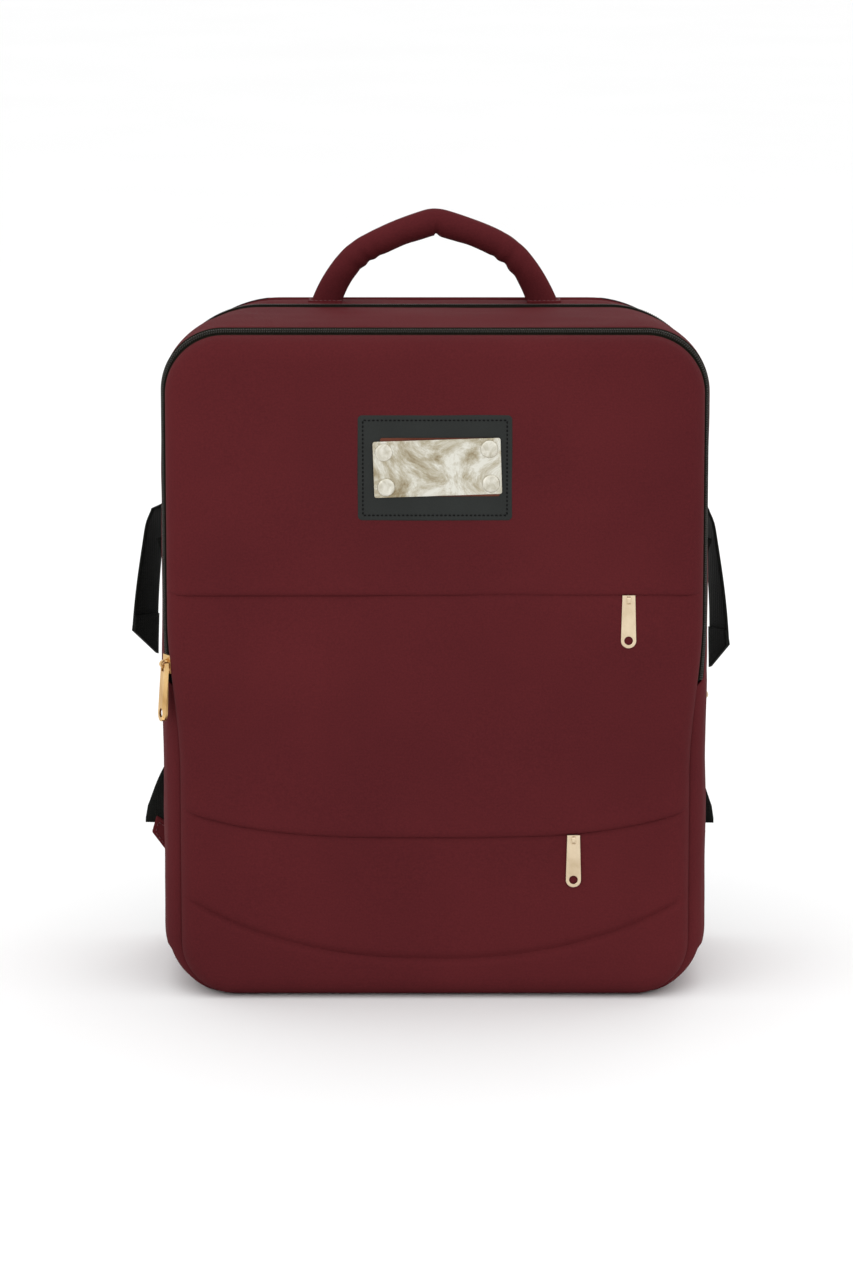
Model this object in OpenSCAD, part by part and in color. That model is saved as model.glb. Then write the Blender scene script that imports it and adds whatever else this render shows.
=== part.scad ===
// Travel backpack: a soft box bag with a zipped front flap, a laptop
// compartment behind it, two front pockets, a carry handle and shoulder straps.
// Origin on the floor under the middle of the bag, front towards -Y, up is +Z.

/* [Body] */
// Width of the bag at its widest
bag_w = 328; // [280:1:400]
// Height of the bag from the floor to its top edge
bag_h = 405; // [350:1:490]
// Depth of the main compartment between its two zips
main_depth = 100; // [75:1:140]
// Depth of the laptop compartment behind the rear zip
laptop_depth = 27; // [22:1:45]
// How far the front face stands in from the widest outline, each side
face_inset = 12; // [8:1:16]
// Depth of the sloping rim between the front face and the main zip
rim_depth = 12; // [10:1:18]
// Corner radius at the top of the front face
face_top_r = 30; // [20:1:40]
// Corner radius at the top of the back
back_top_r = 66; // [50:1:80]
// Corner radius at the bottom of the bag
bottom_r = 36; // [30:1:42]
// Thickness of the padded shell fabric
wall = 3; // [2:0.5:4]

/* [Front] */
// Height of the flap's hinge seam, where the main zip ends
hinge_z = 190; // [170:1:200]
// Height of the upper pocket's lip
upper_lip_z = 248; // [235:1:275]
// Height of the lower pocket's lip
lower_lip_z = 102; // [90:1:115]
// Height of the curved bottom seam at its middle
bottom_seam_z = 25; // [18:1:35]
// Rise of the bottom seam from its middle to the side edges
bottom_seam_rise = 36; // [20:1:45]
// Thickness of the pocket panels that lie on the front
layer = 3; // [2:0.5:4]

/* [Zips] */
// Width of the main zip across both tapes
zip_w = 8; // [7:0.5:10]
// Width of the rear zip across both tapes
rear_zip_w = 6; // [5:0.5:8]
// Height at which the rear zip ends on each side
rear_zip_z = 150; // [120:1:180]
// Length of every slider's body
slider_l = 11; // [9:0.5:13]
// Length of the pullers
puller_l = 29; // [22:1:34]
// Width of the pullers at their foot
puller_w = 8.4; // [7:0.2:10]

/* [Badge] */
// Width of the leather patch
patch_w = 93; // [70:1:110]
// Height of the leather patch
patch_h = 63; // [50:1:75]
// Height of the patch's centre above the floor
patch_z = 322; // [305:1:335]
// Width of the metal plate
plate_w = 76; // [60:1:90]
// Height of the metal plate
plate_h = 35; // [28:1:45]
// Diameter of the domed rivets
rivet_d = 9.6; // [7:0.2:11]

/* [Carrying] */
// Distance between the carry handle's feet
handle_span = 134; // [110:1:150]
// Height of the carry handle's middle above its feet
handle_rise = 41; // [34:1:55]
// Thickness of the padded handle tube
handle_d = 17; // [14:0.5:20]
// Width of the shoulder pads
pad_w = 56; // [45:1:65]
// Thickness of the shoulder pads
pad_t = 12; // [8:1:14]
// Width of the strap webbing
webbing_w = 25; // [20:1:30]
// Length of the loose webbing tails
tail_l = 86; // [70:1:110]

/* [Hidden] */

eps = 0.01;
fabric = [0.36, 0.12, 0.14];
lining_grey = [0.2, 0.2, 0.21];
zip_brown = [0.16, 0.14, 0.11];
webbing_black = [0.06, 0.06, 0.06];
champagne = [0.78, 0.69, 0.55];
gold = [0.72, 0.55, 0.3];

// Clearances
hinge_gap = 1;      // between the flap and the fixed lower front
part_gap = 0.5;     // between pieces on different bodies
lining_gap = 0.2;   // between a lining and its wall
post_gap = 2.4;     // between the two coils of a zip, for the slider's post

// Levels from the front of the bag to its back
back_t = 6;
depth = layer + rim_depth + zip_w + main_depth + rear_zip_w + laptop_depth + back_t;
y_skin = -depth / 2;                       // outside of the pocket panels
y_face = y_skin + layer;                   // outside of the front face
y_zip0 = y_face + rim_depth;               // front edge of the main zip
y_zip1 = y_zip0 + zip_w;                   // rear edge of the main zip
y_rear0 = y_zip1 + main_depth;             // front edge of the rear zip
y_rear1 = y_rear0 + rear_zip_w;            // rear edge of the rear zip
y_back0 = y_rear1 + laptop_depth;          // inside of the back panel
y_back1 = y_back0 + back_t;                // outside of the back panel

// Outlines of the bag at six levels: 0 the face, 1 and 2 the main zip's edges,
// 3 and 4 the rear zip's edges, 5 the back panel
zip_share = 0.46;                          // share of the face inset still left at the zip
zip_inset = face_inset * zip_share;
function outline_w(k) = bag_w - 2 * [face_inset, zip_inset, 1.5, 0, 0, 3][k];
function outline_z0(k) = [4, 1.5, 0, 0, 0, 2][k];
function outline_z1(k) = bag_h - [face_inset, zip_inset, 1, 2, 2, 2][k];
function outline_rt(k) = [face_top_r, face_top_r + 4, face_top_r + 7, back_top_r - 8, back_top_r - 8, back_top_r][k];
function outline_rb(k) = bottom_r - [9, 5, 1, 0, 0, 0][k];

function arc(cx, cz, r, a0, a1, n = 8) =
  [for (i = [0:n]) let (a = a0 + (a1 - a0) * i / n) [cx + r * cos(a), cz + r * sin(a)]];
function outline(w, z0, z1, rt, rb) = concat(
  arc(w / 2 - rt, z1 - rt, rt, 0, 90), arc(-w / 2 + rt, z1 - rt, rt, 90, 180),
  arc(-w / 2 + rb, z0 + rb, rb, 180, 270), arc(w / 2 - rb, z0 + rb, rb, 270, 360));
function level_outline(k, inset = 0) = outline(
  outline_w(k) - 2 * inset, outline_z0(k) + inset, outline_z1(k) - inset,
  outline_rt(k) - inset, outline_rb(k) - inset);

// A flat piece with the outline pts, from y to y + t
module slab(y, t, pts) {
  translate([0, y + t, 0]) rotate([90, 0, 0]) linear_extrude(t) polygon(pts);
}
// A solid that runs from outline k0 at y0 to outline k1 at y1
module loft(y0, k0, y1, k1, inset = 0) {
  hull() {
    slab(y0, eps, level_outline(k0, inset));
    slab(y1 - eps, eps, level_outline(k1, inset));
  }
}
// Keeps what lies between two levels and between two heights
module window(y0, y1, z0, z1) {
  translate([-bag_w, y0, z0]) cube([2 * bag_w, y1 - y0, z1 - z0]);
}
module mirrored(side) {
  mirror([side < 0 ? 0 : 1, 0, 0]) children();
}

// Sweeps a section along a path. sides gives the section's first direction at each point.
function unit(v) = v / norm(v);
function tangent(p, i) = unit(p[min(i + 1, len(p) - 1)] - p[max(i - 1, 0)]);
function ring(p, sides, section, i) =
  let (t = tangent(p, i), s0 = sides[i], s = unit(s0 - t * (s0 * t)), u = cross(s, t))
  [for (q = section) p[i] + q[0] * s + q[1] * u];
module sweep(p, sides, section) {
  n = len(section);
  m = len(p);
  points = [for (i = [0:m - 1]) each ring(p, sides, section, i)];
  walls = [for (i = [0:m - 2], j = [0:n - 1])
    each [[i * n + j, (i + 1) * n + (j + 1) % n, (i + 1) * n + j],
          [i * n + j, i * n + (j + 1) % n, (i + 1) * n + (j + 1) % n]]];
  first = [[for (j = [n - 1:-1:0]) j]];
  last = [[for (j = [0:n - 1]) (m - 1) * n + j]];
  polyhedron(points, concat(walls, first, last), convexity = 6);
}
function strip(w, t) = [[-w / 2, -t / 2], [w / 2, -t / 2], [w / 2, t / 2], [-w / 2, t / 2]];
function cushion(w, t) = concat(
  [for (a = [-90:30:90]) [w / 2 - t / 2 + t / 2 * cos(a), t / 2 * sin(a)]],
  [for (a = [90:30:270]) [-w / 2 + t / 2 + t / 2 * cos(a), t / 2 * sin(a)]]);
function disc(r, n = 16) = [for (i = [0:n - 1]) [r * cos(360 * i / n), r * sin(360 * i / n)]];

// ---------------------------------------------------------------- main compartment
base_half = bag_w / 2 - bottom_r - 6;
module base_cut(y0, y1) {
  translate([-base_half, y0, -1]) cube([2 * base_half, y1 - y0, wall + 1]);
}
module base_panel() {
  color("#2a2224") translate([-base_half, y_zip1, 0])
    cube([2 * base_half, y_back0 - y_zip1, wall]);
}
stiffener_t = 2;
module base_stiffener() {
  color("#1c1c1c") translate([-base_half + 6, y_zip1 + 6, wall])
    cube([2 * base_half - 12, main_depth - divider_t - 12, stiffener_t]);
}
module main_gusset() {
  color(fabric) difference() {
    loft(y_zip1, 2, y_rear1, 3);
    loft(y_zip1 - eps, 2, y_rear1 + eps, 3, wall);
    // the rear zip's slot, above the height where that zip ends
    window(y_rear0, y_rear1 + 1, rear_zip_z - part_gap, 2 * bag_h);
    base_cut(y_zip1 - 1, y_rear1 + 1);
  }
}
lining_t = 0.8;
divider_t = 5;
lining_y1 = y_rear0 - divider_t - lining_gap;
module main_lining() {
  color(lining_grey) difference() {
    slab(y_zip1 + 1, lining_y1 - y_zip1 - 1 - 1, level_outline(3, wall + 2.5 + lining_gap));
    slab(y_zip1, lining_y1 - y_zip1, level_outline(3, wall + 2.5 + lining_gap + lining_t));
  }
}
module divider() {
  color(lining_grey) slab(y_rear0 - divider_t, divider_t, level_outline(3, wall + lining_gap));
}

// ---------------------------------------------------------------- fixed lower front
module front_shell(z0, z1) {
  intersection() {
    difference() {
      union() {
        loft(y_face, 0, y_zip0, 1);
        loft(y_zip0 - eps, 1, y_zip1, 2);
      }
      loft(y_face + wall, 0, y_zip0 + eps, 1, wall);
      loft(y_zip0 - 1, 1, y_zip1 + 1, 2, wall);
    }
    window(y_face - 1, y_zip1, z0, z1);
  }
}
module lower_front_panel() {
  color(fabric) front_shell(-1, hinge_z - hinge_gap / 2);
}
module bottom_seam_cut(gap) {
  half = outline_w(0) / 2;
  r = (half * half + bottom_seam_rise * bottom_seam_rise) / (2 * bottom_seam_rise);
  translate([0, 0, bottom_seam_z + r]) rotate([90, 0, 0])
    cylinder(r = r + gap, h = 4 * depth, center = true, $fn = 180);
}
// A layer on the front face between two heights
module face_layer(z0, z1, t = layer, inset = 0.5) {
  intersection() {
    slab(y_face - t, t, level_outline(0, inset));
    window(y_face - t - 1, y_face, z0, z1);
  }
}
pocket_zip_h = 9;   // height of the slot that a concealed zip lies in
module mid_pocket_panel() {
  color(fabric) face_layer(lower_lip_z + pocket_zip_h / 2, hinge_z - hinge_gap / 2);
}
module lower_pocket_panel() {
  color(fabric) intersection() {
    face_layer(0, lower_lip_z - pocket_zip_h / 2);
    bottom_seam_cut(0);
  }
}
module bottom_front_panel() {
  color(fabric) difference() {
    face_layer(0, bottom_seam_z + bottom_seam_rise + 4);
    bottom_seam_cut(0);
  }
}
pocket_margin = 12;
module pocket_lining(z0, z1) {
  w = outline_w(0) - 2 * pocket_margin;
  color(lining_grey) translate([-w / 2, y_face + wall, z0]) cube([w, lining_t, z1 - z0]);
}
module lower_pocket_lining() {
  pocket_lining(bottom_seam_z + bottom_seam_rise + 4, lower_lip_z + 6);
}

// ---------------------------------------------------------------- zips
tape_t = 2.2;       // thickness of tape and coil together
// Two halves of a straight concealed zip along X, centred on z
module pocket_zip(z) {
  half_h = (pocket_zip_h - post_gap) / 2;
  w = outline_w(0) - 2;
  color(zip_brown) for (s = [-1, 1])
    translate([-w / 2, y_face - 1.2, z + s * (post_gap + half_h) / 2 - half_h / 2])
      cube([w, 1.2, half_h]);
}
module lower_pocket_zip() {
  pocket_zip(lower_lip_z);
}
module upper_pocket_zip() {
  pocket_zip(upper_lip_z);
}
// The sloping band of the main zip, between two levels and above a height
module main_zip_half(y0, y1, z0) {
  color(zip_brown) intersection() {
    difference() {
      loft(y_zip0, 1, y_zip1, 2);
      loft(y_zip0 - eps, 1, y_zip1 + eps, 2, tape_t);
    }
    window(y0, y1, z0, 2 * bag_h);
  }
}
zip_mid = (y_zip0 + y_zip1) / 2;
module body_zip_tape() {
  main_zip_half(zip_mid + post_gap / 2, y_zip1, hinge_z + hinge_gap);
}
slider_z = hinge_z + 13;   // where the main slider parks, at the end of the closed zip
module flap_zip_tape() {
  main_zip_half(y_zip0, zip_mid - post_gap / 2, slider_z + slider_l);
}
module rear_zip_half(y0) {
  w = (rear_zip_w - post_gap) / 2;
  color(zip_brown) intersection() {
    difference() {
      slab(y0, w, level_outline(3));
      slab(y0 - 1, w + 2, level_outline(3, tape_t));
    }
    window(y0, y0 + w, rear_zip_z, 2 * bag_h);
  }
}
module rear_zip_front_tape() {
  rear_zip_half(y_rear0);
}
module rear_zip_rear_tape() {
  rear_zip_half(y_rear1 - (rear_zip_w - post_gap) / 2);
}

// A slider: outer plate, inner plate, post and the bail that its puller hangs from.
// It runs along its own Z, its outside faces -Y, and zip_t is the thickness it straddles.
plate_t = 1.2;
slider_gap = 0.4;
bail_w = 2.2;
bail_r = 1.5;
bail_wire = 1;
function bail_y(zip_t) = -(zip_t / 2 + slider_gap + plate_t + bail_r - 0.2);
module slider(w, zip_t, post_w) {
  off = zip_t / 2 + slider_gap;
  difference() {
    union() {
      for (s = [-1, 1])
        translate([-w / 2, s > 0 ? off : -off - plate_t, -slider_l / 2])
          cube([w, plate_t, slider_l]);
      translate([-post_w / 2, -off - 0.1, -slider_l / 2]) cube([post_w, 2 * off + 0.2, 4]);
      translate([0, bail_y(zip_t), 0]) rotate([0, 90, 0])
        cylinder(r = bail_r + bail_wire, h = bail_w, center = true, $fn = 40);
    }
    translate([0, bail_y(zip_t), 0]) rotate([0, 90, 0])
      cylinder(r = bail_r, h = bail_w + 1, center = true, $fn = 40);
    // the bail stays clear of the channel
    translate([-w, -off, -slider_l]) cube([w - post_w / 2, 2 * off, 2 * slider_l]);
    translate([post_w / 2, -off, -slider_l]) cube([w, 2 * off, 2 * slider_l]);
  }
}
// A puller that hangs along -Z from a crossbar on its own X axis
crossbar_r = 0.8;
eye_arm = 1.4;
module puller(zip_t, tongue_t) {
  eye_w = bail_w + 2 * part_gap + 2 * eye_arm;
  eye_drop = 7;
  hole_r = puller_w * 0.27;
  translate([0, bail_y(zip_t), 0]) {
    rotate([0, 90, 0]) cylinder(r = crossbar_r, h = eye_w - 0.4, center = true, $fn = 24);
    difference() {
      union() {
        for (s = [-1, 1])
          translate([s * (eye_w - eye_arm) / 2 - eye_arm / 2, -tongue_t / 2, -eye_drop])
            cube([eye_arm, tongue_t, eye_drop + 0.8]);
        translate([0, tongue_t / 2, 0]) rotate([90, 0, 0]) linear_extrude(tongue_t)
          polygon([[-eye_w / 2, -4], [eye_w / 2, -4],
                   [puller_w / 2, -puller_l + puller_w / 2], [-puller_w / 2, -puller_l + puller_w / 2]]);
        translate([0, 0, -puller_l + puller_w / 2]) rotate([90, 0, 0])
          cylinder(d = puller_w, h = tongue_t, center = true, $fn = 48);
      }
      translate([0, 0, -puller_l + puller_w / 2]) rotate([90, 0, 0])
        cylinder(r = hole_r, h = 4, center = true, $fn = 40);
    }
  }
}
tongue_t = 1.4;
main_slider_w = 7.6;
// The main slider's own frame lies on the sloping band on the left-hand side
band_x = -(outline_w(1) + outline_w(2)) / 4 + tape_t / 2;
band_turn = -atan2(zip_w, (outline_w(2) - outline_w(1)) / 2);
module on_main_zip() {
  translate([band_x, zip_mid, slider_z]) rotate([0, 0, band_turn]) children();
}
module main_slider() {
  color(gold) on_main_zip() slider(main_slider_w, tape_t + 0.6, 0.8);
}
module main_puller() {
  color(gold) on_main_zip() puller(tape_t + 0.6, tongue_t);
}
// The pocket sliders lie under their lips and run along X
upper_slider_x = outline_w(0) / 2 - 37;
lower_slider_x = outline_w(0) / 2 - 69;
pocket_slider_t = 1.2;
pocket_slider_l = 8;
pocket_pivot_y = y_skin - 1.6;
module pocket_slider(x, z) {
  color(champagne) translate([x, 0, z]) {
    translate([-pocket_slider_l / 2, y_face - 1.2 - part_gap - pocket_slider_t, -pocket_zip_h / 2 + part_gap])
      cube([pocket_slider_l, pocket_slider_t, pocket_zip_h - 2 * part_gap]);
    difference() {
      union() {
        translate([0, pocket_pivot_y, -pocket_zip_h / 2 + 1]) rotate([0, 90, 0])
          cylinder(r = bail_r + bail_wire, h = bail_w, center = true, $fn = 40);
        translate([-bail_w / 2, pocket_pivot_y + bail_r, -pocket_zip_h / 2 + part_gap])
          cube([bail_w, y_face - 1.2 - part_gap - pocket_slider_t / 2 - pocket_pivot_y - bail_r, 3]);
      }
      translate([0, pocket_pivot_y, -pocket_zip_h / 2 + 1]) rotate([0, 90, 0])
        cylinder(r = bail_r, h = bail_w + 1, center = true, $fn = 40);
      translate([-bail_w, y_skin - part_gap, -pocket_zip_h]) cube([2 * bail_w, layer, pocket_zip_h / 2 + part_gap]);
    }
  }
}
module pocket_puller(x, z) {
  color(champagne) translate([x, pocket_pivot_y - bail_y(0), z - pocket_zip_h / 2 + 1]) puller(0, tongue_t);
}
module upper_slider() {
  pocket_slider(upper_slider_x, upper_lip_z);
}
module upper_puller() {
  pocket_puller(upper_slider_x, upper_lip_z);
}
module lower_slider() {
  pocket_slider(lower_slider_x, lower_lip_z);
}
module lower_puller() {
  pocket_puller(lower_slider_x, lower_lip_z);
}
// The rear slider parks low on the right-hand side
rear_slider_z = rear_zip_z + slider_l;
module on_rear_zip() {
  translate([bag_w / 2 - tape_t / 2, (y_rear0 + y_rear1) / 2, rear_slider_z])
    rotate([0, 0, 90]) children();
}
module rear_slider() {
  color(champagne) on_rear_zip() slider(rear_zip_w - 2 * part_gap, tape_t + 0.2, 0.8);
}
module rear_puller() {
  color(champagne) on_rear_zip() puller(tape_t + 0.2, tongue_t);
}

// ---------------------------------------------------------------- laptop compartment and back
module rear_gusset() {
  color(fabric) difference() {
    loft(y_rear1, 4, y_back0, 5);
    loft(y_rear1 - eps, 4, y_back0 + eps, 5, wall);
    base_cut(y_rear1 - 1, y_back0 + 1);
  }
}
sheet_t = 1.6;
module back_frame_sheet() {
  color("#202020") slab(y_back0 - sheet_t, sheet_t, level_outline(5, wall + 8));
}
module back_panel() {
  color("#241c1d") slab(y_back0, back_t, level_outline(5));
}
back_pad_t = 9;
back_pad_w = 96;
back_pad_z0 = 128;
back_pad_h = 200;
module back_pad(side) {
  color("#1d1d1e") mirrored(side) translate([back_pad_w / 2 + 14, 0, 0])
    slab(y_back1, back_pad_t, outline(back_pad_w, back_pad_z0, back_pad_z0 + back_pad_h, 26, 26));
}
module left_back_pad() {
  back_pad(1);
}
module right_back_pad() {
  back_pad(-1);
}
module lumbar_pad() {
  color("#1d1d1e") slab(y_back1, back_pad_t, outline(2 * back_pad_w + 28, 34, 108, 24, 24));
}
sleeve_t = 2.5;
sleeve_gap = 8;
module laptop_sleeve() {
  w = bag_w - 48;
  z0 = 34;
  color(lining_grey) translate([-w / 2, y_rear0, z0]) difference() {
    cube([w, sleeve_gap + sleeve_t, 0.68 * bag_h]);
    translate([sleeve_t, -1, sleeve_t]) cube([w - 2 * sleeve_t, sleeve_gap + 1, bag_h]);
  }
}

// ---------------------------------------------------------------- front flap
module flap_panel() {
  color(fabric) intersection() {
    difference() {
      loft(y_face, 0, y_zip0, 1);
      loft(y_face + wall, 0, y_zip0 + eps, 1, wall);
    }
    window(y_face - 1, y_zip0, hinge_z + hinge_gap / 2, 2 * bag_h);
  }
}
module flap_lining() {
  color(lining_grey) intersection() {
    slab(y_face + wall + lining_t, lining_t, level_outline(0, wall + 2));
    window(y_skin, y_zip0, hinge_z + hinge_gap, 2 * bag_h);
  }
}
module upper_front_panel() {
  color(fabric) face_layer(upper_lip_z + pocket_zip_h / 2, 2 * bag_h);
}
module upper_pocket_panel() {
  color(fabric) face_layer(hinge_z + hinge_gap / 2, upper_lip_z - pocket_zip_h / 2);
}
module upper_pocket_lining() {
  pocket_lining(hinge_z + hinge_gap, upper_lip_z + 6);
}
patch_t = 1.8;
backing_t = 0.4;
plate_thick = 0.9;
module badge_plate_at(y, t, w, h, r) {
  slab(y, t, outline(w, patch_z - h / 2, patch_z + h / 2, r, r));
}
module leather_patch() {
  color("#1b1c1c") badge_plate_at(y_skin - patch_t, patch_t, patch_w, patch_h, 3);
}
module badge_backing() {
  color("#8d8678") translate([2, 0, 1])
    badge_plate_at(y_skin - patch_t - backing_t, backing_t, plate_w - 3, plate_h, 1);
}
module badge_plate() {
  color("#c8c2b4") badge_plate_at(
    y_skin - patch_t - backing_t - plate_thick, plate_thick, plate_w, plate_h, 1);
}
rivet_rise = 1.5;
module badge_rivets() {
  dome_r = (rivet_d * rivet_d / 4 + rivet_rise * rivet_rise) / (2 * rivet_rise);
  y_top = y_skin - patch_t - backing_t - plate_thick;
  color("#d8d2c4")
    for (sx = [-1, 1], sz = [-1, 1])
      translate([sx * (plate_w / 2 - 7), y_top, patch_z + sz * (plate_h / 2 - 7)])
        rotate([90, 0, 0]) intersection() {
          cylinder(d = rivet_d, h = 2 * rivet_rise, $fn = 48);
          translate([0, 0, rivet_rise - dome_r]) sphere(r = dome_r, $fn = 64);
        }
}

// ---------------------------------------------------------------- carry handle
handle_y = (y_rear1 + y_back0) / 2 + 3;
top_z = outline_z1(4);
end_tab_t = 2;                             // the patches sewn on under the handle's feet
foot_t = 4;                                // the handle is pressed flat where it is sewn
foot_h = 11;
handle_axis_z = top_z + end_tab_t + foot_t / 2 + part_gap;
module handle_end_tabs() {
  color(fabric) for (s = [-1, 1])
    translate([s * handle_span / 2 - handle_d * 0.8, handle_y - 9, top_z])
      cube([handle_d * 1.6, 18, end_tab_t]);
}
handle_steps = 22;
handle_path = [for (i = [0:handle_steps]) let (x = handle_span * (i / handle_steps - 0.5))
  [x, handle_y, handle_axis_z + foot_h + (handle_rise - foot_h) * cos(180 * x / handle_span)]];
core_d = 9;
module handle_tube(d, first) {
  p = [for (i = [first:handle_steps - first]) handle_path[i]];
  sweep(p, [for (q = p) [0, 1, 0]], disc(d / 2));
}
module carry_handle_cover() {
  color(fabric) difference() {
    union() {
      handle_tube(handle_d, 0);
      for (s = [-1, 1]) translate([s * handle_span / 2 - handle_d / 2, handle_y, handle_axis_z]) {
        translate([0, -foot_t / 2, 0]) cube([handle_d, foot_t, foot_h + 1]);
        rotate([0, 90, 0]) cylinder(d = foot_t, h = handle_d, $fn = 32);
      }
    }
    handle_tube(core_d + 2 * lining_gap, 1);
  }
}
module carry_handle_core() {
  color("#303030") handle_tube(core_d, 2);
}

// ---------------------------------------------------------------- shoulder straps
strap_x = 50;
strap_z = bag_h - 24;
yoke_t = 3;
module strap_yoke() {
  color("#241c1d") translate([-strap_x - pad_w / 2, y_back1, strap_z - 34])
    cube([2 * strap_x + pad_w, yoke_t, 40]);
}
strap_end_x = bag_w / 2 - 22;
strap_end_y = y_back1 + 26;
strap_end_z = 0.675 * bag_h;
pad_steps = 12;
// The pad leaves the yoke, bows away from the back and runs out to the bag's side
function pad_point(t) = [
  -(strap_x + (strap_end_x - strap_x) * pow(t, 1.15)),
  y_back1 + yoke_t + pad_t / 2 + 5 + 26 * sin(180 * pow(t, 0.7)) * (1 - 0.3 * t) + 10 * t,
  strap_z - 6 + (strap_end_z - strap_z + 6) * pow(t, 1.35)];
function pad_side(t) = let (a = 12 + (46 - 12) * t) [cos(a), 0, -sin(a)];
pad_path = [for (i = [0:pad_steps]) pad_point(i / pad_steps)];
pad_sides = [for (i = [0:pad_steps]) pad_side(i / pad_steps)];
module shoulder_pad(side) {
  color(fabric) mirrored(-side) sweep(pad_path, pad_sides, cushion(pad_w, pad_t));
}
module left_shoulder_pad() {
  shoulder_pad(1);
}
module right_shoulder_pad() {
  shoulder_pad(-1);
}
lock_w = webbing_w + 9;
lock_h = 22;
lock_t = 5;
lock_turn = 46;
lock_down = [-sin(lock_turn), 0, -cos(lock_turn)];     // from the pad's end along the buckle
lock_at = pad_path[pad_steps] + lock_down * (lock_h / 2 + 3);
module ladder_lock(side) {
  color("#0f0f0f") mirrored(-side) translate(lock_at) rotate([0, lock_turn, 0]) difference() {
    cube([lock_w, lock_t, lock_h], center = true);
    for (z = [-5, 4]) translate([0, 0, z]) cube([webbing_w + 1, 2 * lock_t, 4], center = true);
  }
}
module left_ladder_lock() {
  ladder_lock(1);
}
module right_ladder_lock() {
  ladder_lock(-1);
}
webbing_t = 1.6;
tab_y = y_back0 - 8;
tab_z = 56;
tab_reach = 14;
tab_side_x = -bag_w / 2 + 2.2;
module strap_tab(side) {
  color(fabric) mirrored(-side) translate([0, tab_y + 1.5, 0]) rotate([90, 0, 0]) linear_extrude(3)
    polygon([[tab_side_x - 0.2, tab_z - 15], [tab_side_x - 0.2, tab_z + 15],
             [tab_side_x - tab_reach, tab_z + 22], [tab_side_x - tab_reach - 3, tab_z + 11]]);
}
module left_strap_tab() {
  strap_tab(1);
}
module right_strap_tab() {
  strap_tab(-1);
}
module lower_webbing(side) {
  start = [tab_side_x - tab_reach - 1, tab_y + 4, tab_z + 28];
  end = lock_at + lock_down * (lock_h / 2 + 5);
  // it runs up behind the bag's edge and comes out again at the tab
  p = [for (i = [0:10]) let (t = i / 10) start + (end - start) * t + [24, 21, 0] * sin(180 * pow(t, 0.9))];
  color(webbing_black) mirrored(-side)
    sweep(p, [for (i = [0:10]) let (a = 75 - 40 * i / 10) [cos(a), sin(a), 0]], strip(webbing_w, webbing_t));
}
module left_lower_webbing() {
  lower_webbing(1);
}
module right_lower_webbing() {
  lower_webbing(-1);
}
// The tail comes off the buckle, folds over and hangs beside the bag
tail_turn = 44;
tail_x = lock_at[0] - (lock_w * cos(lock_turn) + lock_h * sin(lock_turn)) / 2
  - webbing_w / 2 * cos(tail_turn) - 3 * part_gap;
tail_z = lock_at[2] + 4;
module webbing_tail(side) {
  p = [for (i = [0:6]) let (t = i / 6) [tail_x - 4 * t, lock_at[1], tail_z - tail_l * t]];
  color(webbing_black) mirrored(-side)
    sweep(p, [for (q = p) [cos(tail_turn), sin(tail_turn), 0]], strip(webbing_w, webbing_t));
}
module left_webbing_tail() {
  webbing_tail(1);
}
module right_webbing_tail() {
  webbing_tail(-1);
}

base_panel();
base_stiffener();
main_gusset();
main_lining();
divider();
lower_front_panel();
mid_pocket_panel();
lower_pocket_panel();
lower_pocket_lining();
lower_pocket_zip();
bottom_front_panel();
body_zip_tape();
rear_gusset();
rear_zip_front_tape();
rear_zip_rear_tape();
back_frame_sheet();
back_panel();
left_back_pad();
right_back_pad();
lumbar_pad();
laptop_sleeve();
strap_yoke();
handle_end_tabs();
left_strap_tab();
right_strap_tab();
left_lower_webbing();
right_lower_webbing();
flap_panel();
flap_lining();
flap_zip_tape();
upper_front_panel();
upper_pocket_panel();
upper_pocket_lining();
upper_pocket_zip();
leather_patch();
badge_backing();
badge_plate();
badge_rivets();
main_slider();
main_puller();
upper_slider();
upper_puller();
lower_slider();
lower_puller();
rear_slider();
rear_puller();
carry_handle_cover();
carry_handle_core();
left_shoulder_pad();
right_shoulder_pad();
left_ladder_lock();
right_ladder_lock();
left_webbing_tail();
right_webbing_tail();
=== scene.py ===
# Travel backpack: burgundy coated polyester shell, black webbing, light metal hardware.
# All lengths are in metres, +Z is up and the front of the bag looks towards -Y.

import math

import bmesh
import bpy
from mathutils import Matrix, Vector, noise


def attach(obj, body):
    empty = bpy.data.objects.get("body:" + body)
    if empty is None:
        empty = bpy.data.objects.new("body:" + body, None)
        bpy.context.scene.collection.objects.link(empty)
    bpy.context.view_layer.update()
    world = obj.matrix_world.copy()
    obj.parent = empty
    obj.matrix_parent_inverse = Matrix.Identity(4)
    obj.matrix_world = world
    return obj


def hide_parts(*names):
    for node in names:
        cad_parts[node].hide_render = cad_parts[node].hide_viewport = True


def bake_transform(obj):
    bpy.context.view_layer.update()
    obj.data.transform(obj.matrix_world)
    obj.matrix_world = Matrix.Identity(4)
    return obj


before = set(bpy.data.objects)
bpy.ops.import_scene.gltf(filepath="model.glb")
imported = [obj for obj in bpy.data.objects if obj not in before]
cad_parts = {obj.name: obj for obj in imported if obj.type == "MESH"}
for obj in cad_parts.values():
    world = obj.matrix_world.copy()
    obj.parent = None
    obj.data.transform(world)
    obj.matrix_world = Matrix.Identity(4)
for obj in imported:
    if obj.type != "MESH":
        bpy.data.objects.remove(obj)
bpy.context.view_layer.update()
scene = bpy.context.scene

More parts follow.
